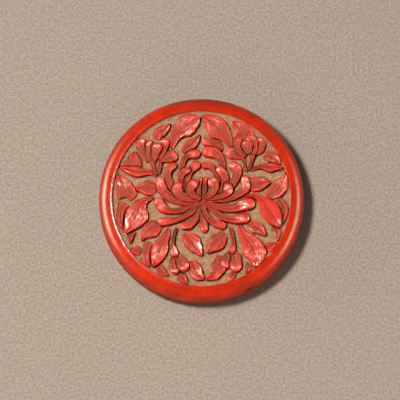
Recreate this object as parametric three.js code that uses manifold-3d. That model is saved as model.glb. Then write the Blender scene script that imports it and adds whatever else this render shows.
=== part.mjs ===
// A round carved cinnabar lacquer box: a shallow base with a foot and an inner mouth ring, and a
// lid that drops over the ring. Each half is a turned wooden core with a thick red lacquer coat
// outside and a thin black lacquer lining inside, which is carried over the edge of the core at
// the mouth. The top of the lid is carved through the red down to an ochre layer, and what stays
// red is a chrysanthemum among blossoms, buds and leaves.
// Millimetres, +Z up. The origin is the centre of the foot, on the surface that the box stands on.

import * as THREE from "three";
import { mergeVertices } from "three/addons/utils/BufferGeometryUtils.js";
import Module from "manifold-3d";

const wasm = await Module();
wasm.setup();

// Driving sizes of the whole box
const boxRadius = 37.5;
const footHeight = 1.2;
const bowlCurveHeight = 5.6;
const bowlReach = 8.5;
const baseWallHeight = 4.8;
const lidWallHeight = 3.2;
const shoulderHeight = 3.9;
const shoulderReach = 4;
const rimFlatWidth = 0.9;

// Layers of each half, from the outside in
const coatThickness = 1.3;
const coreWall = 2;
const baseFloorCore = 1.9;
const lidTopCore = 1.7;
const liningThickness = 0.4;
const mouthCoat = 0.3;
const undersideCoat = 0.3;
const cornerEase = 2;
const glueLine = 0.05;

// Mouth, foot and seam
const mouthRingLedge = 0.4;
const mouthRingHeadroom = 0.5;
const mouthRingChamfer = 0.3;
const lidClearance = 0.3;
const footWidth = 2.2;
const seamEase = 0.35;

// The carved field of the lid
const carveDepth = 1.9;
const lipEase = 0.3;
const groundThickness = 0.4;
const groundLedge = 0.8;
const channelWidth = 0.3;
const channelHeight = 2 * carveDepth;

// How finely the round and the carved surfaces are cut
const turns = 44;
const curveSteps = 4;
const petalSteps = 5;
const leafSteps = 5;
const tipAngles = [Math.PI / 4, Math.PI * 0.45];

// Levels that more than one piece shares
const undersideLevel = footHeight;
const coreFloorLevel = undersideLevel + undersideCoat;
const liningFloorLevel = coreFloorLevel + baseFloorCore;
const insideFloorLevel = liningFloorLevel + liningThickness;
const bowlTopLevel = footHeight + bowlCurveHeight;
const seamLevel = bowlTopLevel + baseWallHeight;
const lidWallTopLevel = seamLevel + lidWallHeight;
const rimLevel = lidWallTopLevel + shoulderHeight;
const groundLevel = rimLevel - carveDepth;
const coreTopLevel = groundLevel - groundThickness;
const ceilingLevel = coreTopLevel - lidTopCore;
const insideCeilingLevel = ceilingLevel - liningThickness;

// Radii that more than one piece shares
const coreRadius = boxRadius - coatThickness - glueLine;
const wallInnerRadius = coreRadius - coreWall;
const liningRadius = wallInnerRadius - glueLine;
const insideRadius = liningRadius - liningThickness;
const mouthRingRadius = insideRadius - lidClearance;
const mouthRingSeat = insideRadius - glueLine;
const mouthRingBore = mouthRingSeat - cornerEase - mouthRingLedge;
const footOuterRadius = boxRadius - bowlReach;
const footInnerRadius = footOuterRadius - footWidth;
const shoulderRadius = boxRadius - shoulderReach;
const fieldRadius = shoulderRadius - rimFlatWidth;
const groundRadius = fieldRadius + groundLedge;

const redLacquer = { color: 0xc4301c, roughness: 0.35, metalness: 0 };
const ochreLacquer = { color: 0xa5835f, roughness: 0.8, metalness: 0 };
const blackLacquer = { color: 0x17120f, roughness: 0.3, metalness: 0 };
const coreWood = { color: 0xb08a5c, roughness: 0.8, metalness: 0 };

const box = new THREE.Group();
const baseHalf = new THREE.Group();
const lidHalf = new THREE.Group();
box.add(baseHalf, lidHalf);

function addPiece(half, name, geometry, finish) {
  const piece = new THREE.Mesh(geometry, new THREE.MeshStandardMaterial(finish));
  piece.name = name;
  half.add(piece);
}

// A turned piece: its profile is a closed run of [radius, height] points.
function turned(profile) {
  const closed = [...profile, profile[0]].map(([r, z]) => new THREE.Vector2(r, z));
  return new THREE.LatheGeometry(closed, turns).rotateX(Math.PI / 2);
}

// A quarter of an ellipse as [radius, height] points, from one angle to another.
function quarter(centreRadius, centreLevel, reach, height, from, to) {
  return Array.from({ length: curveSteps + 1 }, (_, i) => {
    const angle = from + ((to - from) * i) / curveSteps;
    return [centreRadius + reach * Math.cos(angle), centreLevel + height * Math.sin(angle)];
  });
}

// The base
const bowlCoreReach = coreRadius - footOuterRadius;
const bowlCoreHeight = bowlTopLevel - coreFloorLevel;

function baseCore() {
  const curve = quarter(footOuterRadius, bowlTopLevel, bowlCoreReach, bowlCoreHeight, -Math.PI / 2, 0);
  return turned([
    [0, coreFloorLevel],
    ...curve,
    [coreRadius, seamLevel - mouthCoat],
    [wallInnerRadius, seamLevel - mouthCoat],
    [wallInnerRadius, liningFloorLevel + cornerEase],
    [wallInnerRadius - cornerEase, liningFloorLevel],
    [0, liningFloorLevel],
  ]);
}

function baseRedCoat() {
  const outside = quarter(footOuterRadius, bowlTopLevel, bowlReach, bowlCurveHeight, -Math.PI / 2, 0);
  const inside = quarter(
    footOuterRadius,
    bowlTopLevel,
    bowlCoreReach + glueLine,
    bowlCoreHeight + glueLine,
    0,
    -Math.PI / 2,
  );
  return turned([
    ...outside,
    [boxRadius, seamLevel - seamEase],
    [boxRadius - seamEase, seamLevel],
    [coreRadius + glueLine, seamLevel],
    ...inside,
  ]);
}

function baseLining() {
  return turned([
    [0, liningFloorLevel],
    [liningRadius - cornerEase, liningFloorLevel],
    [liningRadius, liningFloorLevel + cornerEase],
    [liningRadius, seamLevel - mouthCoat],
    [coreRadius, seamLevel - mouthCoat],
    [coreRadius, seamLevel],
    [insideRadius, seamLevel],
    [insideRadius, insideFloorLevel + cornerEase],
    [insideRadius - cornerEase, insideFloorLevel],
    [0, insideFloorLevel],
  ]);
}

function mouthRing() {
  const top = insideCeilingLevel - mouthRingHeadroom;
  return turned([
    [mouthRingBore, insideFloorLevel],
    [mouthRingSeat - cornerEase, insideFloorLevel],
    [mouthRingSeat, insideFloorLevel + cornerEase],
    [mouthRingSeat, seamLevel - mouthRingChamfer],
    [mouthRingRadius, seamLevel],
    [mouthRingRadius, top - mouthRingChamfer],
    [mouthRingRadius - mouthRingChamfer, top],
    [mouthRingBore, top],
  ]);
}

function footRing() {
  return turned([
    [footInnerRadius, 0],
    [footOuterRadius, 0],
    [footOuterRadius, footHeight],
    [footInnerRadius, footHeight],
  ]);
}

function undersideDisc() {
  return turned([
    [0, undersideLevel],
    [footOuterRadius - glueLine, undersideLevel],
    [footOuterRadius - glueLine, coreFloorLevel],
    [0, coreFloorLevel],
  ]);
}

// The lid
const coreShoulderReach = coreRadius - shoulderRadius;
const coreShoulderHeight = coreTopLevel - lidWallTopLevel;

function lidCore() {
  const curve = quarter(
    shoulderRadius,
    lidWallTopLevel,
    coreShoulderReach,
    coreShoulderHeight,
    0,
    Math.PI / 2,
  );
  return turned([
    [0, ceilingLevel],
    [wallInnerRadius, ceilingLevel],
    [wallInnerRadius, seamLevel + mouthCoat],
    [coreRadius, seamLevel + mouthCoat],
    ...curve,
    [0, coreTopLevel],
  ]);
}

function lidRedCoat() {
  const outside = quarter(shoulderRadius, lidWallTopLevel, shoulderReach, shoulderHeight, 0, Math.PI / 2);
  const inside = quarter(
    shoulderRadius + glueLine,
    lidWallTopLevel,
    coreShoulderReach,
    coreShoulderHeight,
    Math.PI / 2,
    0,
  );
  return turned([
    [coreRadius + glueLine, seamLevel],
    [boxRadius - seamEase, seamLevel],
    [boxRadius, seamLevel + seamEase],
    ...outside,
    [fieldRadius + lipEase, rimLevel],
    [fieldRadius, rimLevel - lipEase],
    [fieldRadius, groundLevel],
    [groundRadius + glueLine, groundLevel],
    [groundRadius + glueLine, coreTopLevel],
    ...inside,
  ]);
}

function ochreGround() {
  return turned([
    [0, coreTopLevel],
    [groundRadius, coreTopLevel],
    [groundRadius, groundLevel],
    [0, groundLevel],
  ]);
}

function lidLining() {
  return turned([
    [0, insideCeilingLevel],
    [insideRadius, insideCeilingLevel],
    [insideRadius, seamLevel],
    [coreRadius, seamLevel],
    [coreRadius, seamLevel + mouthCoat],
    [liningRadius, seamLevel + mouthCoat],
    [liningRadius, ceilingLevel],
    [0, ceilingLevel],
  ]);
}

addPiece(baseHalf, "base_core", baseCore(), coreWood);
addPiece(baseHalf, "base_red_coat", baseRedCoat(), redLacquer);
addPiece(baseHalf, "base_black_lining", baseLining(), blackLacquer);
addPiece(baseHalf, "mouth_ring", mouthRing(), blackLacquer);
addPiece(baseHalf, "foot_ring", footRing(), blackLacquer);
addPiece(baseHalf, "underside_black_coat", undersideDisc(), blackLacquer);
addPiece(lidHalf, "lid_core", lidCore(), coreWood);
addPiece(lidHalf, "lid_red_coat", lidRedCoat(), redLacquer);
addPiece(lidHalf, "ochre_ground", ochreGround(), ochreLacquer);
addPiece(lidHalf, "lid_black_lining", lidLining(), blackLacquer);

// The carving. A lobe is one petal, leaf or stem. Its line runs from root to tip in points of
// [x, y, half width], as shares of the field's radius. Its rise is its height over the ochre
// ground at the root and at the tip, as shares of the carving's depth. A back is what a cut
// across the lobe shows, in points of [across, height], as shares of the half width and the rise.
// A petal or a stem has a round back and a blunt tip. A leaf has a sunken midrib and a sharp tip.
const petalStyle = {
  backShares: [[-1, 0.6], [-0.5, 1], [0.5, 1], [1, 0.6]],
  steps: petalSteps,
  blunt: true,
};
const leafStyle = {
  backShares: [[-1, 0.62], [-0.5, 1], [0, 0.78], [0.5, 1], [1, 0.62]],
  steps: leafSteps,
  blunt: false,
};
const channelBackShares = [[-1, 1], [1, 1]];
const pointShare = 0.008;

const flowerLobeShares = [
  {
    line: [[-0.08, -0.03, 0.05], [0, -0.03, 0.07], [0.08, -0.03, 0.05]],
    rise: [0.5, 0.5],
  },
  {
    line: [[-0.01, -0.01, 0.02], [-0.1, 0.045, 0.04], [-0.13, 0.11, 0.05], [-0.085, 0.17, 0.045]],
    rise: [0.6, 1],
  },
  {
    line: [[-0.02, 0.02, 0.015], [-0.03, 0.09, 0.025], [-0.022, 0.16, 0.022], [-0.01, 0.225, 0.02]],
    rise: [0.55, 0.9],
  },
  {
    line: [[0.02, 0.02, 0.012], [0.04, 0.1, 0.022], [0.035, 0.17, 0.022], [0.045, 0.225, 0.02]],
    rise: [0.55, 0.9],
  },
  {
    line: [[0.02, 0, 0.02], [0.1, 0.05, 0.045], [0.145, 0.12, 0.05], [0.125, 0.185, 0.05]],
    rise: [0.6, 1],
  },
  {
    line: [
      [-0.03, -0.02, 0.02], [-0.15, 0, 0.042], [-0.24, 0.04, 0.052], [-0.275, 0.1, 0.052],
      [-0.265, 0.14, 0.045],
    ],
    rise: [0.5, 0.95],
  },
  {
    line: [
      [0.04, -0.01, 0.02], [0.15, 0.01, 0.03], [0.24, 0.035, 0.037], [0.298, 0.08, 0.043],
      [0.295, 0.12, 0.045],
    ],
    rise: [0.5, 0.95],
  },
  {
    line: [
      [-0.2, 0.1, 0.035], [-0.235, 0.19, 0.038], [-0.23, 0.26, 0.038], [-0.2, 0.305, 0.038],
      [-0.155, 0.32, 0.028],
    ],
    rise: [0.45, 0.9],
  },
  {
    line: [[-0.165, 0.14, 0.035], [-0.155, 0.25, 0.04], [-0.12, 0.325, 0.04], [-0.065, 0.382, 0.043]],
    rise: [0.3, 0.75],
  },
  {
    line: [
      [-0.29, 0.08, 0.04], [-0.35, 0.17, 0.048], [-0.38, 0.26, 0.04], [-0.368, 0.33, 0.038],
      [-0.315, 0.375, 0.033],
    ],
    rise: [0.4, 0.92],
  },
  {
    line: [
      [-0.225, 0.25, 0.033], [-0.222, 0.36, 0.033], [-0.2, 0.44, 0.035], [-0.15, 0.495, 0.035],
      [-0.065, 0.512, 0.043],
    ],
    rise: [0.35, 0.9],
  },
  {
    line: [
      [-0.08, -0.045, 0.028], [-0.24, -0.03, 0.042], [-0.36, 0.02, 0.05], [-0.44, 0.1, 0.048],
      [-0.46, 0.195, 0.046],
    ],
    rise: [0.4, 0.95],
  },
  {
    line: [
      [0.19, 0.02, 0.03], [0.248, 0.11, 0.042], [0.264, 0.2, 0.044], [0.248, 0.27, 0.044],
      [0.212, 0.32, 0.04],
    ],
    rise: [0.4, 0.95],
  },
  {
    line: [
      [0.16, 0.09, 0.03], [0.178, 0.24, 0.034], [0.13, 0.34, 0.035], [0.08, 0.382, 0.033],
      [0.035, 0.378, 0.03],
    ],
    rise: [0.3, 0.8],
  },
  {
    line: [
      [0.225, 0.2, 0.032], [0.235, 0.36, 0.042], [0.21, 0.455, 0.048], [0.15, 0.52, 0.052],
      [0.065, 0.537, 0.05],
    ],
    rise: [0.35, 0.88],
  },
  {
    line: [
      [0.24, 0.02, 0.03], [0.35, 0.17, 0.043], [0.402, 0.28, 0.045], [0.39, 0.345, 0.045],
      [0.355, 0.375, 0.04],
    ],
    rise: [0.4, 0.92],
  },
  {
    line: [
      [0.14, -0.025, 0.02], [0.3, 0, 0.035], [0.41, 0.05, 0.045], [0.49, 0.115, 0.045],
      [0.487, 0.215, 0.042],
    ],
    rise: [0.4, 0.95],
  },
  {
    line: [
      [0.05, -0.05, 0.02], [0.2, -0.095, 0.04], [0.35, -0.11, 0.052], [0.455, -0.075, 0.055],
      [0.535, -0.057, 0.055],
    ],
    rise: [0.4, 0.95],
  },
  {
    line: [
      [0.03, -0.06, 0.02], [0.13, -0.13, 0.03], [0.25, -0.215, 0.036], [0.37, -0.24, 0.04],
      [0.478, -0.22, 0.052],
    ],
    rise: [0.4, 0.95],
  },
  {
    line: [
      [0.02, -0.06, 0.02], [0.035, -0.15, 0.03], [0.08, -0.225, 0.036], [0.15, -0.28, 0.036],
      [0.235, -0.306, 0.036],
    ],
    rise: [0.45, 0.85],
  },
  {
    line: [[0, -0.1, 0.018], [0.008, -0.2, 0.032], [0.02, -0.28, 0.042], [0.028, -0.345, 0.036]],
    rise: [0.35, 0.75],
  },
  {
    line: [
      [0, -0.07, 0.02], [-0.035, -0.17, 0.038], [-0.085, -0.25, 0.043], [-0.14, -0.297, 0.042],
      [-0.2, -0.313, 0.034],
    ],
    rise: [0.45, 0.9],
  },
  {
    line: [
      [-0.02, -0.07, 0.02], [-0.13, -0.16, 0.035], [-0.26, -0.232, 0.034], [-0.36, -0.255, 0.038],
      [-0.43, -0.262, 0.042],
    ],
    rise: [0.4, 0.88],
  },
  {
    line: [
      [-0.03, -0.05, 0.025], [-0.18, -0.11, 0.038], [-0.3, -0.142, 0.032], [-0.42, -0.118, 0.042],
      [-0.475, -0.052, 0.048],
    ],
    rise: [0.4, 0.9],
  },
];

const upperLeftBlossomShares = [
  {
    line: [[-0.59, 0.44, 0.028], [-0.643, 0.52, 0.048], [-0.672, 0.6, 0.054], [-0.678, 0.635, 0.052]],
    rise: [0.4, 0.8],
  },
  {
    line: [[-0.575, 0.44, 0.024], [-0.59, 0.54, 0.034], [-0.58, 0.622, 0.04]],
    rise: [0.45, 0.88],
  },
  {
    line: [[-0.555, 0.45, 0.03], [-0.525, 0.53, 0.04], [-0.505, 0.588, 0.046]],
    rise: [0.45, 0.82],
  },
  {
    line: [[-0.49, 0.465, 0.035], [-0.435, 0.56, 0.044], [-0.415, 0.643, 0.043]],
    rise: [0.35, 0.75],
  },
  {
    line: [[-0.46, 0.455, 0.02], [-0.39, 0.473, 0.048], [-0.345, 0.482, 0.056]],
    rise: [0.4, 0.8],
  },
  {
    line: [[-0.505, 0.25, 0.022], [-0.53, 0.33, 0.022], [-0.56, 0.41, 0.026], [-0.572, 0.46, 0.03]],
    rise: [0.45, 0.6],
  },
  {
    line: [[-0.495, 0.24, 0.026], [-0.478, 0.33, 0.022], [-0.462, 0.42, 0.02], [-0.45, 0.47, 0.02]],
    rise: [0.4, 0.55],
  },
];

const upperRightBlossomShares = [
  {
    line: [[0.56, 0.5, 0.03], [0.575, 0.57, 0.045], [0.57, 0.62, 0.052], [0.56, 0.655, 0.05]],
    rise: [0.45, 0.7],
  },
  {
    line: [[0.53, 0.5, 0.025], [0.51, 0.55, 0.045], [0.495, 0.59, 0.046]],
    rise: [0.5, 0.85],
  },
  {
    line: [[0.5, 0.48, 0.025], [0.44, 0.55, 0.034], [0.415, 0.61, 0.036], [0.42, 0.65, 0.036]],
    rise: [0.4, 0.72],
  },
  {
    line: [[0.6, 0.5, 0.02], [0.645, 0.56, 0.042], [0.655, 0.61, 0.05], [0.65, 0.648, 0.048]],
    rise: [0.4, 0.78],
  },
  {
    line: [[0.5, 0.46, 0.015], [0.41, 0.495, 0.038], [0.345, 0.512, 0.045], [0.32, 0.51, 0.042]],
    rise: [0.3, 0.55],
  },
  {
    line: [[0.53, 0.325, 0.018], [0.552, 0.4, 0.02], [0.565, 0.46, 0.024], [0.572, 0.51, 0.028]],
    rise: [0.5, 0.85],
  },
  {
    line: [[0.5, 0.31, 0.018], [0.485, 0.38, 0.018], [0.465, 0.45, 0.02], [0.45, 0.48, 0.02]],
    rise: [0.3, 0.35],
  },
];

const lowerRightBudShares = [
  {
    line: [[0.32, -0.33, 0.02], [0.345, -0.42, 0.023], [0.357, -0.52, 0.024], [0.345, -0.59, 0.03]],
    rise: [0.5, 0.7],
  },
  {
    line: [[0.35, -0.61, 0.03], [0.39, -0.69, 0.045], [0.385, -0.775, 0.048]],
    rise: [0.5, 0.8],
  },
  {
    line: [[0.33, -0.61, 0.03], [0.295, -0.68, 0.05], [0.285, -0.745, 0.046]],
    rise: [0.55, 0.85],
  },
  {
    line: [[0.395, -0.83, 0.02], [0.35, -0.865, 0.038], [0.325, -0.895, 0.033]],
    rise: [0.3, 0.4],
  },
];

const lowerLeftBudShares = [
  {
    line: [
      [-0.285, -0.335, 0.018], [-0.31, -0.42, 0.02], [-0.322, -0.52, 0.021], [-0.303, -0.62, 0.036],
    ],
    rise: [0.5, 0.75],
  },
  {
    line: [[-0.3, -0.65, 0.03], [-0.318, -0.74, 0.045], [-0.303, -0.815, 0.038]],
    rise: [0.5, 0.85],
  },
  {
    line: [[-0.27, -0.65, 0.03], [-0.22, -0.72, 0.05], [-0.21, -0.765, 0.048]],
    rise: [0.55, 0.92],
  },
];

// Behind the flower, two petals of which only the upper parts show
const backPetalLeftShares = [
  {
    line: [[-0.2, 0.53, 0.04], [-0.15, 0.6, 0.055], [-0.085, 0.645, 0.05], [-0.02, 0.73, pointShare]],
    rise: [0.45, 0.8],
  },
];
const backPetalRightShares = [
  {
    line: [[0.225, 0.56, 0.03], [0.165, 0.625, 0.045], [0.09, 0.64, 0.045], [0.045, 0.652, 0.036]],
    rise: [0.4, 0.6],
  },
];

// The leaves, listed so that one lying over another comes first
const leafShares = {
  leaf_top_left: {
    line: [
      [-0.335, 0.58, 0.022], [-0.29, 0.72, 0.06], [-0.19, 0.825, 0.118], [-0.09, 0.89, 0.09],
      [-0.015, 0.94, pointShare],
    ],
    rise: [0.5, 0.95],
  },
  leaf_top_right: {
    line: [
      [0.335, 0.58, 0.022], [0.275, 0.7, 0.06], [0.19, 0.8, 0.115], [0.09, 0.885, 0.078],
      [0, 0.95, pointShare],
    ],
    rise: [0.5, 0.9],
  },
  leaf_right_large: {
    line: [
      [0.47, 0.035, 0.015], [0.6, 0.03, 0.025], [0.69, -0.03, 0.06], [0.765, -0.14, 0.105],
      [0.83, -0.24, 0.075], [0.888, -0.34, pointShare],
    ],
    rise: [0.5, 0.9],
  },
  leaf_left_large: {
    line: [
      [-0.5, 0.005, 0.015], [-0.61, -0.01, 0.028], [-0.688, -0.08, 0.08], [-0.728, -0.19, 0.124],
      [-0.785, -0.29, 0.088], [-0.85, -0.395, pointShare],
    ],
    rise: [0.5, 1],
  },
  leaf_lower_right_large: {
    line: [
      [0.42, -0.3, 0.022], [0.47, -0.41, 0.05], [0.55, -0.525, 0.105], [0.61, -0.64, 0.115],
      [0.6, -0.79, pointShare],
    ],
    rise: [0.5, 0.9],
  },
  leaf_lower_left_large: {
    line: [
      [-0.37, -0.34, 0.02], [-0.42, -0.46, 0.055], [-0.465, -0.58, 0.088], [-0.505, -0.68, 0.068],
      [-0.548, -0.785, pointShare],
    ],
    rise: [0.5, 0.98],
  },
  leaf_right_long: {
    line: [
      [0.54, 0.325, 0.014], [0.66, 0.365, 0.026], [0.77, 0.355, 0.048], [0.85, 0.352, 0.03],
      [0.925, 0.345, pointShare],
    ],
    rise: [0.5, 0.9],
  },
  leaf_left_long: {
    line: [
      [-0.5, 0.27, 0.026], [-0.6, 0.305, 0.032], [-0.72, 0.305, 0.056], [-0.82, 0.325, 0.042],
      [-0.93, 0.365, pointShare],
    ],
    rise: [0.5, 0.92],
  },
  leaf_upper_left: {
    line: [
      [-0.51, 0.69, 0.05], [-0.465, 0.755, 0.06], [-0.41, 0.8, 0.045], [-0.352, 0.862, pointShare],
    ],
    rise: [0.45, 0.95],
  },
  leaf_upper_right: {
    line: [
      [0.515, 0.665, 0.09], [0.465, 0.75, 0.105], [0.405, 0.82, 0.066], [0.338, 0.888, pointShare],
    ],
    rise: [0.4, 0.7],
  },
  leaf_right_shoulder: {
    line: [[0.715, 0.445, 0.02], [0.78, 0.475, 0.055], [0.845, 0.43, 0.035], [0.9, 0.372, pointShare]],
    rise: [0.5, 0.8],
  },
  leaf_right_inner: {
    line: [[0.555, 0.162, 0.068], [0.63, 0.168, 0.08], [0.7, 0.18, 0.058], [0.778, 0.19, pointShare]],
    rise: [0.5, 0.8],
  },
  leaf_right_tip: {
    line: [[0.75, 0.03, 0.045], [0.845, 0.105, 0.09], [0.91, 0.19, 0.062], [0.955, 0.305, pointShare]],
    rise: [0.35, 0.9],
  },
  leaf_right_edge: {
    line: [[0.86, -0.015, 0.03], [0.915, -0.08, 0.05], [0.925, -0.18, 0.038], [0.9, -0.3, pointShare]],
    rise: [0.7, 0.85],
  },
  leaf_right_low: {
    line: [[0.83, -0.29, 0.055], [0.845, -0.38, 0.045], [0.852, -0.49, pointShare]],
    rise: [0.4, 0.75],
  },
  leaf_right_small: {
    line: [[0.53, -0.28, 0.04], [0.6, -0.32, 0.068], [0.66, -0.36, 0.05], [0.725, -0.43, pointShare]],
    rise: [0.45, 0.8],
  },
  leaf_lower_right_edge: {
    line: [[0.72, -0.56, 0.04], [0.77, -0.54, 0.05], [0.84, -0.5, pointShare]],
    rise: [0.4, 0.7],
  },
  leaf_lower_right_low: {
    line: [[0.545, -0.72, 0.03], [0.525, -0.78, 0.04], [0.5, -0.86, pointShare]],
    rise: [0.3, 0.75],
  },
  leaf_bottom_right: {
    line: [
      [0.22, -0.66, 0.05], [0.195, -0.765, 0.078], [0.145, -0.855, 0.07], [0.055, -0.925, pointShare],
    ],
    rise: [0.5, 0.9],
  },
  leaf_below_flower_right: {
    line: [
      [0.25, -0.4, 0.045], [0.185, -0.48, 0.092], [0.12, -0.545, 0.068], [0.065, -0.625, pointShare],
    ],
    rise: [0.7, 0.75],
  },
  leaf_below_flower_left: {
    line: [
      [-0.19, -0.41, 0.045], [-0.12, -0.485, 0.09], [-0.06, -0.56, 0.068], [0.012, -0.655, pointShare],
    ],
    rise: [0.7, 0.95],
  },
  leaf_bottom: {
    line: [
      [-0.11, -0.71, 0.035], [-0.075, -0.79, 0.07], [-0.045, -0.86, 0.07], [0.035, -0.92, pointShare],
    ],
    rise: [0.6, 0.85],
  },
  leaf_bottom_left_low: {
    line: [[-0.225, -0.83, 0.03], [-0.22, -0.89, 0.05], [-0.155, -0.98, pointShare]],
    rise: [0.5, 0.75],
  },
  leaf_lower_left_low: {
    line: [[-0.475, -0.77, 0.04], [-0.45, -0.83, 0.045], [-0.365, -0.88, pointShare]],
    rise: [0.4, 0.7],
  },
  leaf_lower_left_side: {
    line: [
      [-0.6, -0.5, 0.042], [-0.615, -0.6, 0.052], [-0.628, -0.69, 0.055], [-0.578, -0.78, pointShare],
    ],
    rise: [0.5, 0.85],
  },
  leaf_lower_left_edge: {
    line: [[-0.68, -0.59, 0.04], [-0.73, -0.59, 0.055], [-0.795, -0.565, pointShare]],
    rise: [0.35, 0.5],
  },
  leaf_left_small: {
    line: [
      [-0.47, -0.29, 0.055], [-0.545, -0.335, 0.09], [-0.615, -0.39, 0.066],
      [-0.68, -0.475, pointShare],
    ],
    rise: [0.45, 0.65],
  },
  leaf_left_edge: {
    line: [
      [-0.87, -0.06, 0.065], [-0.9, -0.15, 0.055], [-0.905, -0.25, 0.045], [-0.868, -0.39, pointShare],
    ],
    rise: [0.6, 0.7],
  },
  leaf_left_low: {
    line: [[-0.79, -0.37, 0.052], [-0.797, -0.43, 0.035], [-0.798, -0.515, pointShare]],
    rise: [0.5, 0.65],
  },
  leaf_left_upper: {
    line: [
      [-0.79, 0.005, 0.085], [-0.845, 0.065, 0.108], [-0.88, 0.155, 0.08], [-0.94, 0.285, pointShare],
    ],
    rise: [0.5, 0.95],
  },
  leaf_left_inner: {
    line: [
      [-0.53, 0.128, 0.062], [-0.59, 0.125, 0.086], [-0.67, 0.122, 0.056], [-0.758, 0.115, pointShare],
    ],
    rise: [0.4, 0.7],
  },
  leaf_left_shoulder: {
    line: [[-0.78, 0.34, 0.11], [-0.768, 0.43, 0.085], [-0.758, 0.545, 0.012]],
    rise: [0.5, 0.75],
  },
};

function solidFrom(geometry) {
  geometry.deleteAttribute("normal");
  geometry.deleteAttribute("uv");
  const merged = mergeVertices(geometry);
  return new wasm.Manifold(
    new wasm.Mesh({
      numProp: 3,
      vertProperties: merged.attributes.position.array,
      triVerts: new Uint32Array(merged.index.array),
    }),
  );
}

function geometryFrom(solid) {
  const { vertProperties, triVerts } = solid.getMesh();
  return new THREE.BufferGeometry()
    .setAttribute("position", new THREE.BufferAttribute(vertProperties, 3))
    .setIndex(new THREE.BufferAttribute(triVerts, 1));
}

// Where a lobe is cut across: its centre, the way it runs, its half width, and its place between
// the root at 0 and the tip at 1.
function stationsOf(lobe, style) {
  const points = lobe.line.map(([x, y, w]) => new THREE.Vector3(x, y, w).multiplyScalar(fieldRadius));
  const curve = new THREE.CatmullRomCurve3(points, false, "centripetal");
  const stations = Array.from({ length: style.steps + 1 }, (_, i) => {
    const place = i / style.steps;
    const at = curve.getPointAt(place);
    const ahead = curve.getTangentAt(place).setZ(0).normalize();
    return { x: at.x, y: at.y, half: at.z, ahead, place };
  });
  if (!style.blunt) return stations;
  const { x, y, half, ahead } = stations[style.steps];
  const tip = tipAngles.map((angle) => ({
    x: x + ahead.x * half * Math.sin(angle),
    y: y + ahead.y * half * Math.sin(angle),
    half: half * Math.cos(angle),
    ahead,
    place: 1,
  }));
  return [...stations, ...tip];
}

// One closed solid through a run of cross-sections, each with the same number of corners.
function lofted(sections) {
  const ring = sections[0].length;
  const faces = [];
  for (let s = 0; s < sections.length - 1; s++)
    for (let k = 0; k < ring; k++) {
      const a = s * ring + k;
      const b = s * ring + ((k + 1) % ring);
      faces.push(a, b, b + ring, a, b + ring, a + ring);
    }
  const last = (sections.length - 1) * ring;
  for (let k = 1; k < ring - 1; k++) faces.push(0, k + 1, k, last, last + k, last + k + 1);
  const corners = new THREE.Float32BufferAttribute(sections.flat(2), 3);
  return solidFrom(new THREE.BufferGeometry().setAttribute("position", corners).setIndex(faces));
}

function lobeSolid(lobe, style) {
  const [rootRise, tipRise] = lobe.rise.map((share) => share * carveDepth);
  const sections = stationsOf(lobe, style).map(({ x, y, half, ahead, place }) =>
    [[-1, 0], ...style.backShares, [1, 0]].map(([across, up]) => [
      x + ahead.y * across * half,
      y - ahead.x * across * half,
      groundLevel + up * (rootRise + (tipRise - rootRise) * place),
    ]),
  );
  return lofted(sections);
}

// The room that a lobe and the channel round it take up, from the ochre to above the rim
function lobeRoom(lobe, style) {
  const sections = stationsOf(lobe, style).map(({ x, y, half, ahead }) =>
    [[-1, 0], ...channelBackShares, [1, 0]].map(([across, up]) => [
      x + ahead.y * across * (half + channelWidth),
      y - ahead.x * across * (half + channelWidth),
      groundLevel + up * channelHeight,
    ]),
  );
  return lofted(sections);
}

function joined(solids) {
  return solids.reduce((whole, next) => whole.add(next));
}

// The carver's tool leaves a channel down to the ochre round each motif: what lies lower is cut
// back from what lies over it, and everything is cut back from the rim. Of a motif that others
// cut in two, the larger piece is kept.
const fieldBlank = solidFrom(
  turned([
    [0, groundLevel],
    [fieldRadius - channelWidth, groundLevel],
    [fieldRadius - channelWidth, rimLevel],
    [0, rimLevel],
  ]),
);
let roomTaken = null;

function carve(name, lobes, style) {
  const blank = joined(lobes.map((lobe) => lobeSolid(lobe, style))).intersect(fieldBlank);
  const cut = roomTaken ? blank.subtract(roomTaken) : blank;
  const pieces = cut.decompose().sort((a, b) => b.volume() - a.volume());
  addPiece(lidHalf, name, geometryFrom(pieces[0]), redLacquer);
  const room = joined(lobes.map((lobe) => lobeRoom(lobe, style)));
  roomTaken = roomTaken ? roomTaken.add(room) : room;
}

carve("chrysanthemum", flowerLobeShares, petalStyle);
carve("blossom_upper_left", upperLeftBlossomShares, petalStyle);
carve("blossom_upper_right", upperRightBlossomShares, petalStyle);
carve("bud_lower_right", lowerRightBudShares, petalStyle);
carve("bud_lower_left", lowerLeftBudShares, petalStyle);
carve("back_petal_left", backPetalLeftShares, leafStyle);
carve("back_petal_right", backPetalRightShares, petalStyle);
for (const [name, leaf] of Object.entries(leafShares)) carve(name, [leaf], leafStyle);

export default box;
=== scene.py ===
# %% [markdown]
# # A carved cinnabar lacquer box
# The object is a small round box, 75 mm across. Each half is a turned wooden shell. Red lacquer
# was built up on its outside in many thin coats, the inside and the foot were lacquered black,
# and the top of the lid was carved down to an ochre layer that lies under the red.
# The measured model is loaded first, as a fixed frame. Nearly every piece below takes the place
# of one of its plain ones, so it is made in the same place and at the same size. Only the two
# wooden cores stay as they are, and get a finish.

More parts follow.
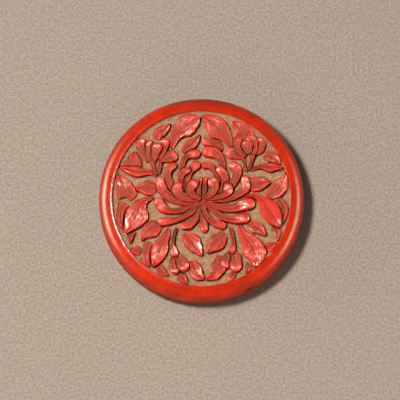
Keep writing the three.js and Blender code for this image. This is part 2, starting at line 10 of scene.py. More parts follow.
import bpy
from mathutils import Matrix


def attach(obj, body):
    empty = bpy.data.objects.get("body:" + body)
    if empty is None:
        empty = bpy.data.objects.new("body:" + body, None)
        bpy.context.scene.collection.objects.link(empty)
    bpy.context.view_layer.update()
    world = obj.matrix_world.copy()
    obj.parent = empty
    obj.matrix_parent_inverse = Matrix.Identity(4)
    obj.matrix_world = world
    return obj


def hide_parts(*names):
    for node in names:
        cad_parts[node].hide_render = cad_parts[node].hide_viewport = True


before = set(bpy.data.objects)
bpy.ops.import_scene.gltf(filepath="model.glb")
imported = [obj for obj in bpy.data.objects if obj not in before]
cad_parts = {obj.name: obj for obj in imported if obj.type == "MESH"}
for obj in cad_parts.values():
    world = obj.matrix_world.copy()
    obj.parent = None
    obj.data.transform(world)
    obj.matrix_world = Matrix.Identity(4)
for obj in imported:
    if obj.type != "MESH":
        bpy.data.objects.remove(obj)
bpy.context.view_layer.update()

# %% [markdown]
# ## Sizes
# A turner works from one drawing of the profile, in millimetres. The same values are kept here
# once, under the names of the parts of the box, and every later cell reads them. Blender works
# in metres, so one number turns the one into the other when a mesh is made. The model leaves a
# hair's width between two layers, where the real ones are bonded, and the pieces keep it.

# %% The drawing's sizes, in millimetres
import math

import bmesh
import bpy
import numpy as np
from mathutils import Vector

MM = 0.001
layer_gap = 0.05
box_radius = 37.5
foot_radius, foot_width, foot_height = 29, 2.2, 1.2
bowl_top, seam, lid_wall_top, rim = 6.8, 11.6, 14.8, 18.7
core_radius = 36.15
coat_radius = core_radius + layer_gap
inside_radius = 33.7
floor_level, ceiling = 3.8, 14.3
black_thickness = 0.4
field_radius = 32.6
carve_depth = 1.9
ground = rim - carve_depth
ochre_radius, ochre_bottom = 33.4, 16.4
print("the box is", 2 * box_radius, "mm across and", rim, "mm high")

# %% [markdown]
# ## Colours and patterns
# Colours are noted as they look on a screen, in hex, and Blender's shaders want them linear, so
# one function turns them. A pattern is sized by a real length in millimetres: a noise whose
# blotches are 2 mm across needs a scale of 500, because the object's coordinates are in metres.
# A finish is then built as on the bench, from the bottom up: a first colour, further colours that
# are each laid over the last by a share from 0 to 1, and bumps one over another. One function
# adds every node, with its inputs by name or in the node's own order. A Map Range takes a value,
# the range that it comes in and the range that it goes out in. In a colour Mix, 0 is the share,
# and 6 and 7 are the colours.

# %% Helpers for every material
def linear(code):
    """The linear colour of an sRGB hex code such as c4301c."""
    parts = [int(code[i:i + 2], 16) / 255 for i in (0, 2, 4)]
    return (*[p / 12.92 if p <= 0.04045 else ((p + 0.055) / 1.055) ** 2.4 for p in parts], 1)


def per_mm(size):
    """The scale of a pattern whose features are this many millimetres across."""
    return 1 / (size * MM)


def feed(tree, node, inputs):
    """Gives a node its inputs: values, sockets, or nodes, for their first output in use."""
    for key, value in inputs.items() if isinstance(inputs, dict) else enumerate(inputs):
        if isinstance(value, bpy.types.Node):
            value = next(output for output in value.outputs if output.enabled)
        if isinstance(value, bpy.types.NodeSocket):
            tree.links.new(value, node.inputs[key])
        else:
            node.inputs[key].default_value = value


def add(tree, kind, inputs=(), **settings):
    """Adds a node with its settings and inputs. A kind in capitals is an operation of Math."""
    if kind.isupper():
        kind, settings = "Math", {"operation": kind, **settings}
    family = "" if kind.startswith(("GeometryNode", "NodeGroup")) else "ShaderNode"
    node = tree.nodes.new(family + kind)
    for key, value in settings.items():
        setattr(node, key, value)
    feed(tree, node, inputs)
    return node


def new_finish(name, *grains):
    """A material, its tree, the piece's own coordinates, and a noise for each size and detail."""
    material = bpy.data.materials.new(name)
    material.use_nodes = True
    tree = material.node_tree
    place = add(tree, "TexCoord").outputs["Object"]
    noises = [
        add(tree, "TexNoise", {"Vector": place, "Scale": per_mm(size), "Detail": detail})
        for size, detail in grains]
    return material, tree, place, noises


def dressed(material, first, layers, bumps, inputs):
    """Lays colours over the first, adds bumps of (pattern, mm, strength), and feeds the shader."""
    tree = material.node_tree
    colour = linear(first)
    for share, code in layers:
        colour = add(tree, "Mix", {0: share, 6: colour, 7: linear(code)}, data_type="RGBA")
    normal = {}
    for pattern, depth, strength in bumps:
        bump = {"Height": pattern, "Distance": depth * MM, "Strength": strength}
        normal = {"Normal": add(tree, "Bump", {**bump, **normal})}
    feed(tree, tree.nodes["Principled BSDF"], {"Base Color": colour, **normal, **inputs})
    print("made", material.name)
    return material


def from_axis(tree, place):
    """How far a place is from the box's axis, how far towards the back, and how high."""
    x, y, height = add(tree, "SeparateXYZ", [place]).outputs
    flat = add(tree, "CombineXYZ", [x, y])
    return add(tree, "VectorMath", [flat], operation="LENGTH"), y, height


# %% [markdown]
# ## Polished cinnabar lacquer
# The rim and the wall are cinnabar red lacquer, rubbed down and polished by hand. The pigment is
# never quite even, so the red has soft blotches a few millimetres across and fine dark spots. The
# flat of the rim has gone dull, while the lip at the field and the outer slope of the shoulder
# still shine, and the surface is very slightly wavy, which makes the long highlights wander.
# Age is laid over that in its own places: the red is rubbed thin and brown beside the seam, and
# the left of the rim has two small marks, one dark and one pale. The red is also laid darker and
# browner towards the far edge, and painted shade darkens the chipped place inside. The base gets
# the same finish, paler, duller and more rubbed.

# %% Make the polished reds
dark_spot = {"at": (-33.2, 7.9, 18.6), "size": 0.55, "tint": "4a1408"}
pale_spot = {"at": (-35, 4.2, 18.2), "size": 0.45, "tint": "f0b070"}


def rubbed_at_seam(tree, height, mottle, most):
    """The share of worn brown: full at the seam, with a ragged edge about a millimetre away."""
    off = add(tree, "SUBTRACT", [height, seam * MM])
    gap = add(tree, "ABSOLUTE", [off])
    ragged = add(tree, "MULTIPLY_ADD", [mottle, 16 * MM, -3.3 * MM])
    near = add(tree, "SUBTRACT", [ragged, gap])
    return add(tree, "MapRange", [near, -0.9 * MM, 0.7 * MM, 0, most])


def rim_shine(tree, radius, height, shine):
    """The gloss: some at the lip, little on the flat, most on the slope, little on the wall."""
    inner = add(tree, "MapRange", [radius, 33 * MM, 33.4 * MM, 0.45 * shine, 0.1 * shine])
    outer = add(tree, "MapRange", [radius, 34.6 * MM, 36 * MM, 0.1 * shine, shine])
    most = add(tree, "MAXIMUM", [inner, outer])
    wall = add(tree, "MapRange", [height, 14.2 * MM, 16.8 * MM, 0.1, 1])
    return add(tree, "MULTIPLY", [most, wall])


def polished_red(name, bright, deep_red_and_painted_shade, worn, wear, roughness, shine):
    material, tree, place, (blotch, speckle, wave) = new_finish(name, (5, 3), (0.6, 3), (3, 1))
    radius, y, height = from_axis(tree, place)
    deeper = add(tree, "MapRange", [blotch, 0.35, 0.65])
    spots = add(tree, "MapRange", [speckle, 0.5, 0.68, 0, 0.5])
    mottle = add(tree, "MULTIPLY", [blotch, speckle])
    broken = add(tree, "Attribute", attribute_name="broken").outputs["Fac"]
    # painted shade inside the chip
    chip_shade = add(tree, "MapRange", [broken, 0.25, 0.5, 0, 0.95])
    # the red is laid darker and browner towards the far edge
    far_edge = add(tree, "MapRange", [y, 33.5 * MM, 36.8 * MM, 0, 0.75])
    marks = []
    for spot in (dark_spot, pale_spot):
        centre, size = tuple(v * MM for v in spot["at"]), spot["size"] * MM
        away = add(tree, "VectorMath", [place, centre], operation="DISTANCE")
        marks.append((add(tree, "MapRange", [away, 0.4 * size, size, 0.8, 0]), spot["tint"]))
    uneven = add(tree, "MapRange", [blotch, 0.3, 0.7, roughness - 0.05, roughness + 0.06])
    lip = add(tree, "MapRange", [radius, 33.1 * MM, 33.6 * MM, 0.4, 1])
    return dressed(
        material, bright,
        [(deeper, deep_red_and_painted_shade), (spots, "861f0c"), (rubbed_at_seam(tree, height, mottle, wear), worn),
         (chip_shade, "38140b"), (far_edge, "7e3420"), *marks],
        [(wave, 0.12, 0.5), (speckle, 0.04, 0.6)],
        {"Roughness": add(tree, "MULTIPLY", [uneven, lip]),
         "Specular IOR Level": rim_shine(tree, radius, height, shine), "IOR": 1.52})


rim_red = polished_red(
    "cinnabar lacquer, hand polished", bright="dc3212", deep_red_and_painted_shade="b62a12", worn="a8583c",
    wear=0.75, roughness=0.36, shine=0.3)
bowl_red = polished_red(
    "cinnabar lacquer, worn by handling", bright="d85030", deep_red_and_painted_shade="b04024", worn="b06a4c",
    wear=0.8, roughness=0.7, shine=0.1)

# %% [markdown]
# ## Carved cinnabar lacquer
# The relief is the same red, but dust has settled on it for years. The raised edges and tips that
# hands touch are bright red and shine, and the long bodies of petals and leaves are a dusty pinkish
# brown with fine brown specks. Thin dark lines run along them where the knife went, and painted
# shade darkens the grooves and the creases where one lobe is cut down beside another. The meshes
# carry that as named values: hollow is 1 in a groove and high in such a crease, dust and polish
# say how much has settled or been rubbed, along runs from root to tip, and across from one edge to
# the other.
# Beside a steep edge, on the side turned from the light, painted shade makes it nearly black. An
# Ambient Occlusion node finds those places, and its normal leans to the upper left, so that only
# the side turned from the light gets that painted shade.

# %% Make the carved red
def shaded_side(tree, reach, darkest, open_from):
    """The share of painted shade, from 0 to 1, where the upper left is hidden within this many mm.
    """
    towards = add(tree, "CombineXYZ", [-0.63, 0.44, 0.64])
    openness = add(
        tree, "AmbientOcclusion", {"Distance": reach * MM, "Normal": towards}, samples=8)
    return add(tree, "MapRange", [openness.outputs["AO"], darkest, open_from, 1, 0])


def carved_red(name):
    material, tree, place, (blotch, speckle) = new_finish(name, (1.6, 4), (0.35, 2))
    hollow, settled, polish, along, across = [
        add(tree, "Attribute", attribute_name=key).outputs["Fac"]
        for key in ("hollow", "dust", "polish", "along", "across")]
    lobe_place = add(tree, "CombineXYZ", [along, across, blotch])
    drawn_out = add(tree, "VectorMath", [lobe_place, (1.3, 2.3, 0.8)], operation="MULTIPLY")
    lines = add(tree, "TexNoise", {"Vector": drawn_out, "Scale": 1.7, "Detail": 1.5})

    patchy = add(tree, "MapRange", [lines, 0.38, 0.54, 0.2, 1.25])
    dust = add(tree, "MULTIPLY", [settled, patchy], use_clamp=True)
    fine = add(tree, "MapRange", [speckle, 0.35, 0.7, 0, 0.5])
    caught = add(tree, "ADD", [settled, 0.2], use_clamp=True)
    specks = add(tree, "MULTIPLY", [fine, caught])
    thin = add(tree, "MapRange", [lines, 0.5, 0.6])
    lined = add(tree, "MULTIPLY", [thin, settled])
    # painted shade in the grooves and creases, with dark noise lines where dust lies
    scored = add(tree, "MAXIMUM", [hollow, lined])
    groove = add(tree, "MULTIPLY", [scored, 0.92])
    # painted shade: near black on the side of each lobe turned from the light
    deep_red_and_painted_shade = shaded_side(tree, 0.9, 0.33, 0.54)

    bare = add(tree, "MapRange", [blotch, 0.36, 0.56, 1, 0.25])
    rubbed = add(tree, "MULTIPLY", [polish, bare])
    lit = add(tree, "MapRange", [rubbed, 0.1, 0.8, 0.1, 1])
    open_part = add(tree, "SUBTRACT", [1, deep_red_and_painted_shade])
    return dressed(
        material, "e4240a",
        [(dust, "b4604c"), (specks, "864436"), (groove, "7c1e0e"), (deep_red_and_painted_shade, "0f0503")],
        [(lines, 0.3, 0.5), (speckle, 0.03, 0.6)],
        {"Roughness": add(tree, "MapRange", [rubbed, 0.1, 0.8, 0.62, 0.16]),
         "Specular IOR Level": add(tree, "MULTIPLY", [lit, open_part]),
         "IOR": 1.52})


relief_red = carved_red("cinnabar lacquer, carved")

# %% [markdown]
# ## Ochre lacquer
# Under the red lies a layer of ochre lacquer, which tells the carver how deep to go. It is dull
# and dusty: tan, mottled with brown in patches of one or two millimetres, with smears of red that
# the knife left behind and small dark flecks. On the side of a motif that is turned from the
# light, painted shade makes it nearly black, and less so near the wall of the rim.

# %% Make the ochre ground's finish
def scraped_ochre(name):
    material, tree, place, (patch, fleck) = new_finish(name, (1.7, 5), (0.45, 3))
    moved = add(tree, "Mapping", {"Vector": place, "Location": (0.03, 0.01, 0)})
    smear = add(tree, "TexNoise", {"Vector": moved, "Scale": per_mm(1.3), "Detail": 5})
    brown = add(tree, "MapRange", [patch, 0.42, 0.62, 0, 0.6])
    trace = add(tree, "MapRange", [smear, 0.5, 0.68, 0, 0.75])
    flecks = add(tree, "MapRange", [fleck, 0.45, 0.7, 0, 0.6])
    from_foot = add(tree, "VectorMath", [place], operation="LENGTH")
    inside = add(tree, "MapRange", [from_foot, 34.6 * MM, 36.2 * MM, 1, 0.3])
    # painted shade on the side of each motif turned from the light
    deep_red_and_painted_shade = add(tree, "MULTIPLY", [shaded_side(tree, 1.1, 0.47, 0.66), inside])
    shine = add(tree, "MapRange", [deep_red_and_painted_shade, 0, 0.6, 0.3, 0])
    return dressed(
        material, "b0906c",
        [(brown, "7e6048"), (trace, "a8483a"), (flecks, "5c4030"), (deep_red_and_painted_shade, "0f0603")],
        [(patch, 0.15, 0.6), (fleck, 0.06, 0.7)],
        {"Specular IOR Level": shine, "Roughness": 0.72, "IOR": 1.5})


ground_ochre = scraped_ochre("ochre lacquer, scraped by the knife")

# %% [markdown]
# ## Black lacquer
# The inside, the mouth ring and the foot are brushed with black lacquer. It is near black with a
# trace of brown, glossy, with faint brush marks that run round the box, and it has fine dust
# and rub marks that make the gloss uneven.

# %% Make the black lacquer
def brushed_black(name):
    material, tree, place, (cloud, dust) = new_finish(name, (9, 4), (0.8, 2))
    radius = from_axis(tree, place)[0]
    marks = add(
        tree, "TexNoise", {"W": radius, "Scale": per_mm(0.6), "Detail": 2},
        noise_dimensions="1D")
    browner = add(tree, "MapRange", [cloud, 0.35, 0.7])
    gloss = add(tree, "MapRange", [dust, 0.3, 0.75, 0.2, 0.42])
    return dressed(
        material, "17100d", [(browner, "2a1c15")], [(marks, 0.01, 0.3)],
        {"Roughness": gloss, "IOR": 1.52})


inside_black = brushed_black("black lacquer, brushed")

# %% [markdown]
# ## Turned wood
# The core of each half is thin turned wood. Lacquer covers it everywhere, so it is seen only if
# the box is taken apart, but it still gets its finish: pale brown, with growth rings as long
# streaks of light and dark along one direction, and fine pores.

# %% Make the wood
def turned_wood(name):
    material, tree, place, _ = new_finish(name)
    long_way = add(tree, "Mapping", {"Vector": place, "Scale": (1, 0.12, 1)})
    warp, pores = [
        add(tree, "TexNoise", {"Vector": long_way, "Scale": per_mm(size), "Detail": detail})
        for size, detail in ((12, 3), (0.4, 2))]
    rings = add(
        tree, "TexWave",
        {"Vector": long_way, "Scale": per_mm(14), "Distortion": 6, "Detail": 3},
        bands_direction="X")
    streak = add(tree, "MULTIPLY", [rings, warp])
    holes = add(tree, "MapRange", [pores, 0.6, 0.72, 0, 0.5])
    return dressed(
        material, "b58f60", [(streak, "7d5733"), (holes, "4e3620")], [(pores, 0.03, 0.5)],
        {"Roughness": 0.62})


core_wood = turned_wood("wood, turned")
for core in ("base_core", "lid_core"):
    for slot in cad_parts[core].material_slots:
        slot.material = core_wood

# %% [markdown]
# ## Turning the shells
# Every part of the box below the carving was made on a lathe, so one outline spun about the
# middle gives its whole shape. Each outline is a closed run of points, as radius and height in
# millimetres. A sharp corner in the drawing is never sharp on the bench, so a third number says
# how far from the corner the rounding starts. The spun mesh has its doubled points merged, so
# that the poles and the joint close, and then its faces are turned outwards.

# %% Helpers for turned outlines
def eased(outline, steps=6):
    """The closed outline with its marked corners rounded."""
    run = []
    for i, point in enumerate(outline):
        corner = np.array(point[:2], float)
        if len(point) == 2:
            run.append(corner)
            continue
        before = np.array(outline[i - 1][:2], float) - corner
        after = np.array(outline[(i + 1) % len(outline)][:2], float) - corner
        start = corner + before / np.linalg.norm(before) * point[2]
        end = corner + after / np.linalg.norm(after) * point[2]
        for t in np.linspace(0, 1, steps):
            run.append((1 - t) ** 2 * start + 2 * t * (1 - t) * corner + t ** 2 * end)
    return np.array(run)


def arc(centre, reach, start, end, steps=18):
    """Points on a quarter of an ellipse, from one angle in degrees to another."""
    angles = np.radians(np.linspace(start, end, steps))
    return [
        (centre[0] + reach[0] * math.cos(a), centre[1] + reach[1] * math.sin(a)) for a in angles]


print("a corner is rounded in", len(eased([(0, 0, 1), (9, 0), (0, 9)])) - 2, "points")

# %% Helpers for every mesh
merge_distance = 1e-7


def closed_mesh(name, points, faces, values=None, merge=True):
    """A closed mesh with its faces outwards, from points in mm and named values of the points."""
    mesh = bpy.data.meshes.new(name)
    mesh.from_pydata((points * MM).tolist(), [], faces)
    for key, amounts in (values or {}).items():
        mesh.attributes.new(key, "FLOAT", "POINT").data.foreach_set("value", amounts)
    work = bmesh.new()
    work.from_mesh(mesh)
    if merge:
        bmesh.ops.remove_doubles(work, verts=work.verts, dist=merge_distance)
    else:
        bmesh.ops.dissolve_degenerate(work, edges=work.edges, dist=merge_distance)
    bmesh.ops.recalc_face_normals(work, faces=work.faces)
    work.to_mesh(mesh)
    work.free()
    return mesh


def finished(name, mesh, material, sharp=40):
    """An object at the origin that shows the mesh, smooth but for edges sharper than this."""
    mesh.materials.clear()
    mesh.materials.append(material)
    mesh.shade_smooth()
    mesh.set_sharp_from_angle(angle=math.radians(sharp))
    piece = bpy.data.objects.new(name, mesh)
    bpy.context.scene.collection.objects.link(piece)
    return piece


def turned(name, outline, material, turns=288, reshape=None):
    """A piece spun from its outline in this many steps, with its points reshaped after that."""
    run = eased(outline)
    angles = np.linspace(0, 2 * math.pi, turns, endpoint=False)
    radii, heights = run[:, 0][None, :], run[:, 1][None, :]
    points = np.stack([
        radii * np.cos(angles)[:, None],
        radii * np.sin(angles)[:, None],
        np.repeat(heights, turns, axis=0),
    ], axis=2).reshape(-1, 3)
    if reshape:
        points = reshape(points)
    count = len(run)
    faces = [
        (i * count + j, i * count + (j + 1) % count,
         (i + 1) % turns * count + (j + 1) % count, (i + 1) % turns * count + j)
        for i in range(turns) for j in range(count)
        if max(run[j][0], run[(j + 1) % count][0]) > 0
    ]
    print("turned", name, "in", len(faces), "faces")
    return finished(name, closed_mesh(name, points, faces), material)


# %% [markdown]
# ## The base
# The lower half is a shallow bowl that curves up from the foot to a straight wall. From outside
# it is a red coat, a black foot and a black underside. Inside it has a black lining, which also
# covers the edge at the seam, and a black ring that stands up in its mouth and centres the lid.

# %% Turn the base
coat_bottom = 1.45
underside_top = 1.5
bevel = 2
lining_radius = inside_radius + black_thickness
lining_bottom = floor_level - black_thickness
ring_inside, ring_neck = 31.25, 33.4
ring_outside = inside_radius - layer_gap
headroom = 0.5
ring_top = ceiling - headroom
edge_black = 0.3

base_coat = turned("base_lacquer", [
    *arc((foot_radius, bowl_top), (box_radius - foot_radius, bowl_top - foot_height), -90, 0),
    (box_radius, seam - 1.2),
    (box_radius, seam - 0.8),
    (box_radius, seam, 0.38),
    (coat_radius, seam, 0.1),
    *arc((foot_radius, bowl_top), (coat_radius - foot_radius, bowl_top - coat_bottom), 0, -90),
], bowl_red)
foot = turned("foot", [
    (foot_radius - foot_width, 0, 0.3),
    (foot_radius, 0, 0.4),
    (foot_radius, foot_height),
    (foot_radius - foot_width, foot_height),
], inside_black)
underside = turned("underside_lacquer", [
    (0, foot_height),
    (foot_radius - layer_gap, foot_height),
    (foot_radius - layer_gap, underside_top),
    (0, underside_top),
], inside_black)
lining = turned("base_lining", [
    (0, lining_bottom),
    (lining_radius - bevel, lining_bottom, 0.8),
    (lining_radius, lining_bottom + bevel, 0.8),
    (lining_radius, seam - edge_black),
    (core_radius, seam - edge_black),
    (core_radius, seam, 0.12),
    (inside_radius, seam, 0.15),
    (inside_radius, floor_level + bevel, 0.8),
    (inside_radius - bevel, floor_level, 0.8),
    (0, floor_level),
], inside_black)
mouth = turned("mouth_ring_lacquer", [
    (ring_inside, floor_level),
    (ring_outside - bevel, floor_level),
    (ring_outside, floor_level + bevel),
    (ring_outside, seam - edge_black),
    (ring_neck, seam, 0.1),
    (ring_neck, ring_top, 0.35),
    (ring_inside, ring_top, 0.45),
], inside_black)

# %% [markdown]
# ## A chip in the lid
# At the lid's lower edge, on the near side to the right, a piece of lacquer broke away and left a
# ragged hollow that runs up onto the shoulder. It isn't turned: the points of the turned coat
# near it are moved towards the axis, by a share that falls from its middle to its edge. Two sines
# round the box make the edge ragged, and a named value tells the finish what is broken.

# %% How the chip is broken away
chip_angle = math.radians(-61.8)
chip_reach = math.radians(3.6)
chip_top = 16.1
chip_depth = 0.75
chip_skin = 1.6
chip_waves = [(0.16, 61, 1.7), (0.12, 137, -2.9)]


def chip_share(points):
    """How much is broken away at each point, from 0 to 1: wide at the seam, narrower above."""
    angle = np.arctan2(points[:, 1], points[:, 0])
    radius, height = np.hypot(points[:, 0], points[:, 1]), points[:, 2]
    up = np.clip((height - seam) / (chip_top - seam), 0, 2)
    sideways = (angle - chip_angle) / (chip_reach * (1.0 - 0.15 * up))
    ragged = sum(size * np.sin(angle * times + height * lean) for size, times, lean in chip_waves)
    share = np.clip(1.5 * (1 - sideways ** 2 - up ** 2 + ragged), 0, 1)
    return share * (radius > box_radius - chip_skin)


def chipped(points):
    """The points with the broken ones moved towards the axis."""
    moved = points.copy()
    radius = np.maximum(np.hypot(points[:, 0], points[:, 1]), 1)
    moved[:, :2] *= (1 - chip_share(points) * chip_depth / radius)[:, None]
    return moved


print("the chip reaches", round(math.degrees(chip_reach), 1), "degrees to each side")

# %% [markdown]
# ## The lid
# The lid's coat runs up a short wall and over a wide round shoulder, nearly a quarter of an
# ellipse, to the flat top of the rim, and drops over a small rounded lip into the carved field.
# The lip catches a thin line of light. The ochre ground is a separate disc at the bottom of the
# field, and its edge runs on under the rim. It isn't quite flat: it dips and rises by a few
# hundredths of a millimetre, as the knife left it.

# %% Turn the lid
lip_size = 0.12
lid_lining_top = ceiling + black_thickness
core_shoulder = 33.5 + layer_gap
shoulder_end, shoulder_steps = 82, 40
dip, wave_height = 0.03, 0.015

wall_steps = np.linspace(seam + 0.6, lid_wall_top - 0.3, 8)
shoulder = arc(
    (field_radius, lid_wall_top), (box_radius - field_radius, rim - lid_wall_top),
    0, shoulder_end, shoulder_steps)
shoulder_inside = arc(
    (core_shoulder, lid_wall_top), (coat_radius - core_shoulder, ochre_bottom - lid_wall_top),
    90, 0)
lid_coat = turned("lid_lacquer", [
    (coat_radius, seam, 0.1),
    (box_radius, seam, 0.38),
    *[(box_radius, height) for height in wall_steps],
    *shoulder,
    (field_radius + lip_size, rim, 0.05),
    (field_radius, rim - lip_size, 0.05),
    (field_radius, ground),
    (ochre_radius + layer_gap, ground),
    (ochre_radius + layer_gap, ochre_bottom),
    *shoulder_inside,
], rim_red, turns=576, reshape=chipped)
corners = np.array([tuple(vertex.co) for vertex in lid_coat.data.vertices]) / MM
broken = lid_coat.data.attributes.new("broken", "FLOAT", "POINT")
broken.data.foreach_set("value", chip_share(corners))
lid_lining = turned("lid_lining", [
    (0, ceiling),
    (inside_radius, ceiling, 0.2),
    (inside_radius, seam, 0.15),
    (core_radius, seam, 0.12),
    (core_radius, seam + edge_black),
    (lining_radius, seam + edge_black),
    (lining_radius, lid_lining_top),
    (0, lid_lining_top),
], inside_black)


def scraped(points):
    """The points of the ochre with its top lowered in slow waves."""
    x, y, height = points.T
    wave = np.sin(1.1 * x + 0.7 * y) * np.sin(0.9 * y - 0.5 * x) + np.sin(2.3 * x - 1.9 * y)
    is_top = height > (ochre_bottom + ground) / 2
    moved = points.copy()
    moved[:, 2] -= np.where(is_top, dip + wave_height * wave, 0)
    return moved


ochre_rings = [(radius, ground) for radius in np.linspace(ochre_radius, 0, 60)]
ochre = turned(
    "ochre_layer", [(0, ochre_bottom), (ochre_radius, ochre_bottom), *ochre_rings],
    ground_ochre, turns=180, reshape=scraped)

# %% [markdown]
# ## Carving the relief
# Each petal and each half of a leaf is one rounded ridge that runs along a line and swells and
# narrows as it goes. That is a rule, so one Geometry Nodes tree makes every one of them. The tree
# takes a line whose points carry the ridge's half width as their radius and its crest as their
# height. A grid is laid along the line: one way runs from the root to the tip, the other goes
# over the back from the left foot to the right foot, and its last column comes back under the
# ridge, so the solid closes.

# %% Begin the tree with its inputs
tree = bpy.data.node_groups.new("carved lobe", "GeometryNodeTree")
tree.interface.new_socket("Line", in_out="INPUT", socket_type="NodeSocketGeometry")
for kind, names in {
    "Int": ("Stations", "Across"),
    "Float": (
        "Ground Level", "Crown Fullness", "Wall Steepness", "Grooves", "Groove Depth",
        "Valley Depth", "Valley Width", "Valley End", "Midrib", "Low Softness", "Side Tilt",
        "Waver", "Seed"),
    "Vector": ("Low Side",),
    "Material": ("Lacquer",),
}.items():
    for name in names:
        tree.interface.new_socket(name, in_out="INPUT", socket_type="NodeSocket" + kind)
tree.interface.new_socket("Solid", in_out="OUTPUT", socket_type="NodeSocketGeometry")
lobe_inputs = {
    item.name: item.identifier for item in tree.interface.items_tree
    if item.in_out == "INPUT"
}
given = add(tree, "NodeGroupInput").outputs
print("the tree takes", ", ".join(lobe_inputs))

# %% The grid, and where each of its points lies along and round the ridge
grid = add(
    tree, "GeometryNodeMeshGrid",
    {"Size X": 1.0, "Size Y": 1.0, "Vertices X": given["Stations"], "Vertices Y": given["Across"]})
x, y, _ = add(tree, "SeparateXYZ", [add(tree, "GeometryNodeInputPosition")]).outputs
along = add(tree, "ADD", [x, 0.5], use_clamp=True)
last = add(tree, "SUBTRACT", [given["Across"], 1.0])
column = add(tree, "ADD", [y, 0.5])
counted = add(tree, "MULTIPLY", [column, last])
top_columns = add(tree, "SUBTRACT", [last, 1.0])
share = add(tree, "DIVIDE", [counted, top_columns])
past = add(tree, "LESS_THAN", [share, 1.002])
around = add(tree, "MULTIPLY", [share, past], use_clamp=True)
print("with the grid the tree has", len(tree.nodes), "nodes")

# %% The line at this share of its length, and the direction out to its side
line = add(
    tree, "GeometryNodeSampleCurve",
    {"Curves": given["Line"], "Value": add(tree, "GeometryNodeInputRadius"), "Factor": along},
    mode="FACTOR", use_all_curves=True)
line_x, line_y, crest_height = add(tree, "SeparateXYZ", [line.outputs["Position"]]).outputs
ahead_x, ahead_y, _ = add(tree, "SeparateXYZ", [line.outputs["Tangent"]]).outputs
left = add(tree, "MULTIPLY", [ahead_y, -1.0])
sideways = add(tree, "CombineXYZ", [left, ahead_x])
aside = add(tree, "VectorMath", [sideways], operation="NORMALIZE")
facing = add(tree, "VectorMath", [aside, given["Low Side"]], operation="DOT_PRODUCT")
print("with the line the tree has", len(tree.nodes), "nodes")

# %% [markdown]
# ## The section of a ridge
# Across the ridge a point goes from -1 to 1 while it rises from 0 to 1 and falls again. Powers of
# the sine and cosine make that arch full and its walls steep. The side that faces the given low
# side is cut softer and lower, so that the other stands up as an edge. A leaf has a valley all
# along its middle, where the midrib is pressed in, and a petal's valley runs out before its tip.

# %% Across from -1 to 1, and up from 0 to 1
turn = add(tree, "MULTIPLY", [around, math.pi])
cosine = add(tree, "COSINE", [turn])
sine = add(tree, "SINE", [turn])
reach = add(tree, "ABSOLUTE", [cosine])
wide = add(tree, "POWER", [reach, given["Crown Fullness"]])
side = add(tree, "SIGN", [cosine])
mirrored = add(tree, "MULTIPLY", [wide, side])
across = add(tree, "MULTIPLY", [mirrored, -1.0])
lift = add(tree, "MAXIMUM", [sine, 0.0])
lower = add(tree, "MULTIPLY", [facing, across])
soft = add(tree, "MapRange", [lower, 0.0, 1.0, 1.0, given["Low Softness"]])
bend = add(tree, "MULTIPLY", [soft, given["Wall Steepness"]])
back = add(tree, "POWER", [lift, bend])
print("with the arch the tree has", len(tree.nodes), "nodes")

# %% The valley, and the slope towards the low side
nearness = add(tree, "MapRange", [wide, 0.0, given["Valley Width"], 1.0, 0.0])
valley = add(tree, "POWER", [nearness, 1.6])
filled = add(tree, "ADD", [given["Valley End"], 0.2])
open_here = add(
    tree, "MapRange", [along, given["Valley End"], filled, 1.0, 0.0],
    interpolation_type="SMOOTHSTEP")
deepest = add(tree, "MULTIPLY", [open_here, given["Valley Depth"]])
rib = add(tree, "MULTIPLY", [valley, deepest])
turned_away = add(tree, "ABSOLUTE", [facing])
below_crest = add(tree, "ADD", [lower, turned_away])
twist = add(tree, "MULTIPLY_ADD", [along, 0.65, 0.15])
half_tilt = add(tree, "MULTIPLY", [given["Side Tilt"], twist])
tilt = add(tree, "MULTIPLY", [below_crest, half_tilt])
lost = add(tree, "ADD", [tilt, rib])
whole = add(tree, "SUBTRACT", [1.0, lost])
shaped = add(tree, "MULTIPLY", [back, whole])
print("with the valley the tree has", len(tree.nodes), "nodes")

# %% [markdown]
# ## The knife's lines
# Grooves run to the tip with the ridge's own width, drift a little and break off here and there,
# as a hand cuts them. A noise that runs along the ridge and differs by side and by lobe makes the
# edge waver. The values that the lacquer reads are kept on the points before those move.

# %% The grooves, and the waver of the edge
run = add(tree, "MULTIPLY", [along, 3.0])
flank = add(tree, "MULTIPLY", [side, 4.3])
noises = {}
for name, parts, scale, detail in [
    ("edge", [run, flank, given["Seed"]], 1.8, 2.0),
    ("drift", [run, given["Seed"]], 1.1, 1.0),
    ("breaks", [along, across, given["Seed"]], 3.2, 2.0),
]:
    where = add(tree, "CombineXYZ", parts)
    noises[name] = add(tree, "TexNoise", {"Vector": where, "Scale": scale, "Detail": detail})
uneven = add(tree, "MapRange", [noises["edge"], 0.3, 0.7, -1.0, 1.0], clamp=False)
shift = add(tree, "MapRange", {0: noises["drift"], 3: -0.22, 4: 0.22})
slid = add(tree, "ADD", [across, shift])
half = add(tree, "MULTIPLY_ADD", [slid, 0.5, 0.5])
phase = add(tree, "MULTIPLY", [given["Grooves"], 2 * math.pi])
swing = add(tree, "MULTIPLY", [half, phase])
ripple = add(tree, "COSINE", [swing])
risen = add(tree, "MULTIPLY_ADD", [ripple, 0.5, 0.5])
narrow = add(tree, "POWER", [risen, 3.0])
middle = add(tree, "MapRange", [wide, 0.72, 0.95, 1.0, 0.0])
within = add(tree, "MULTIPLY", [middle, open_here])
cut_here = add(tree, "MapRange", [noises["breaks"], 0.38, 0.62, 0.0, 1.0])
broken_off = add(tree, "MULTIPLY", [narrow, cut_here])
lines = add(tree, "MULTIPLY", [broken_off, within])
crease = add(tree, "MapRange", [wide, 0.02, 0.12, given["Midrib"], 0.0])
groove = add(tree, "MAXIMUM", [lines, crease])
pressed_in = add(tree, "MULTIPLY", [groove, given["Groove Depth"]])
print("with the knife's lines the tree has", len(tree.nodes), "nodes")

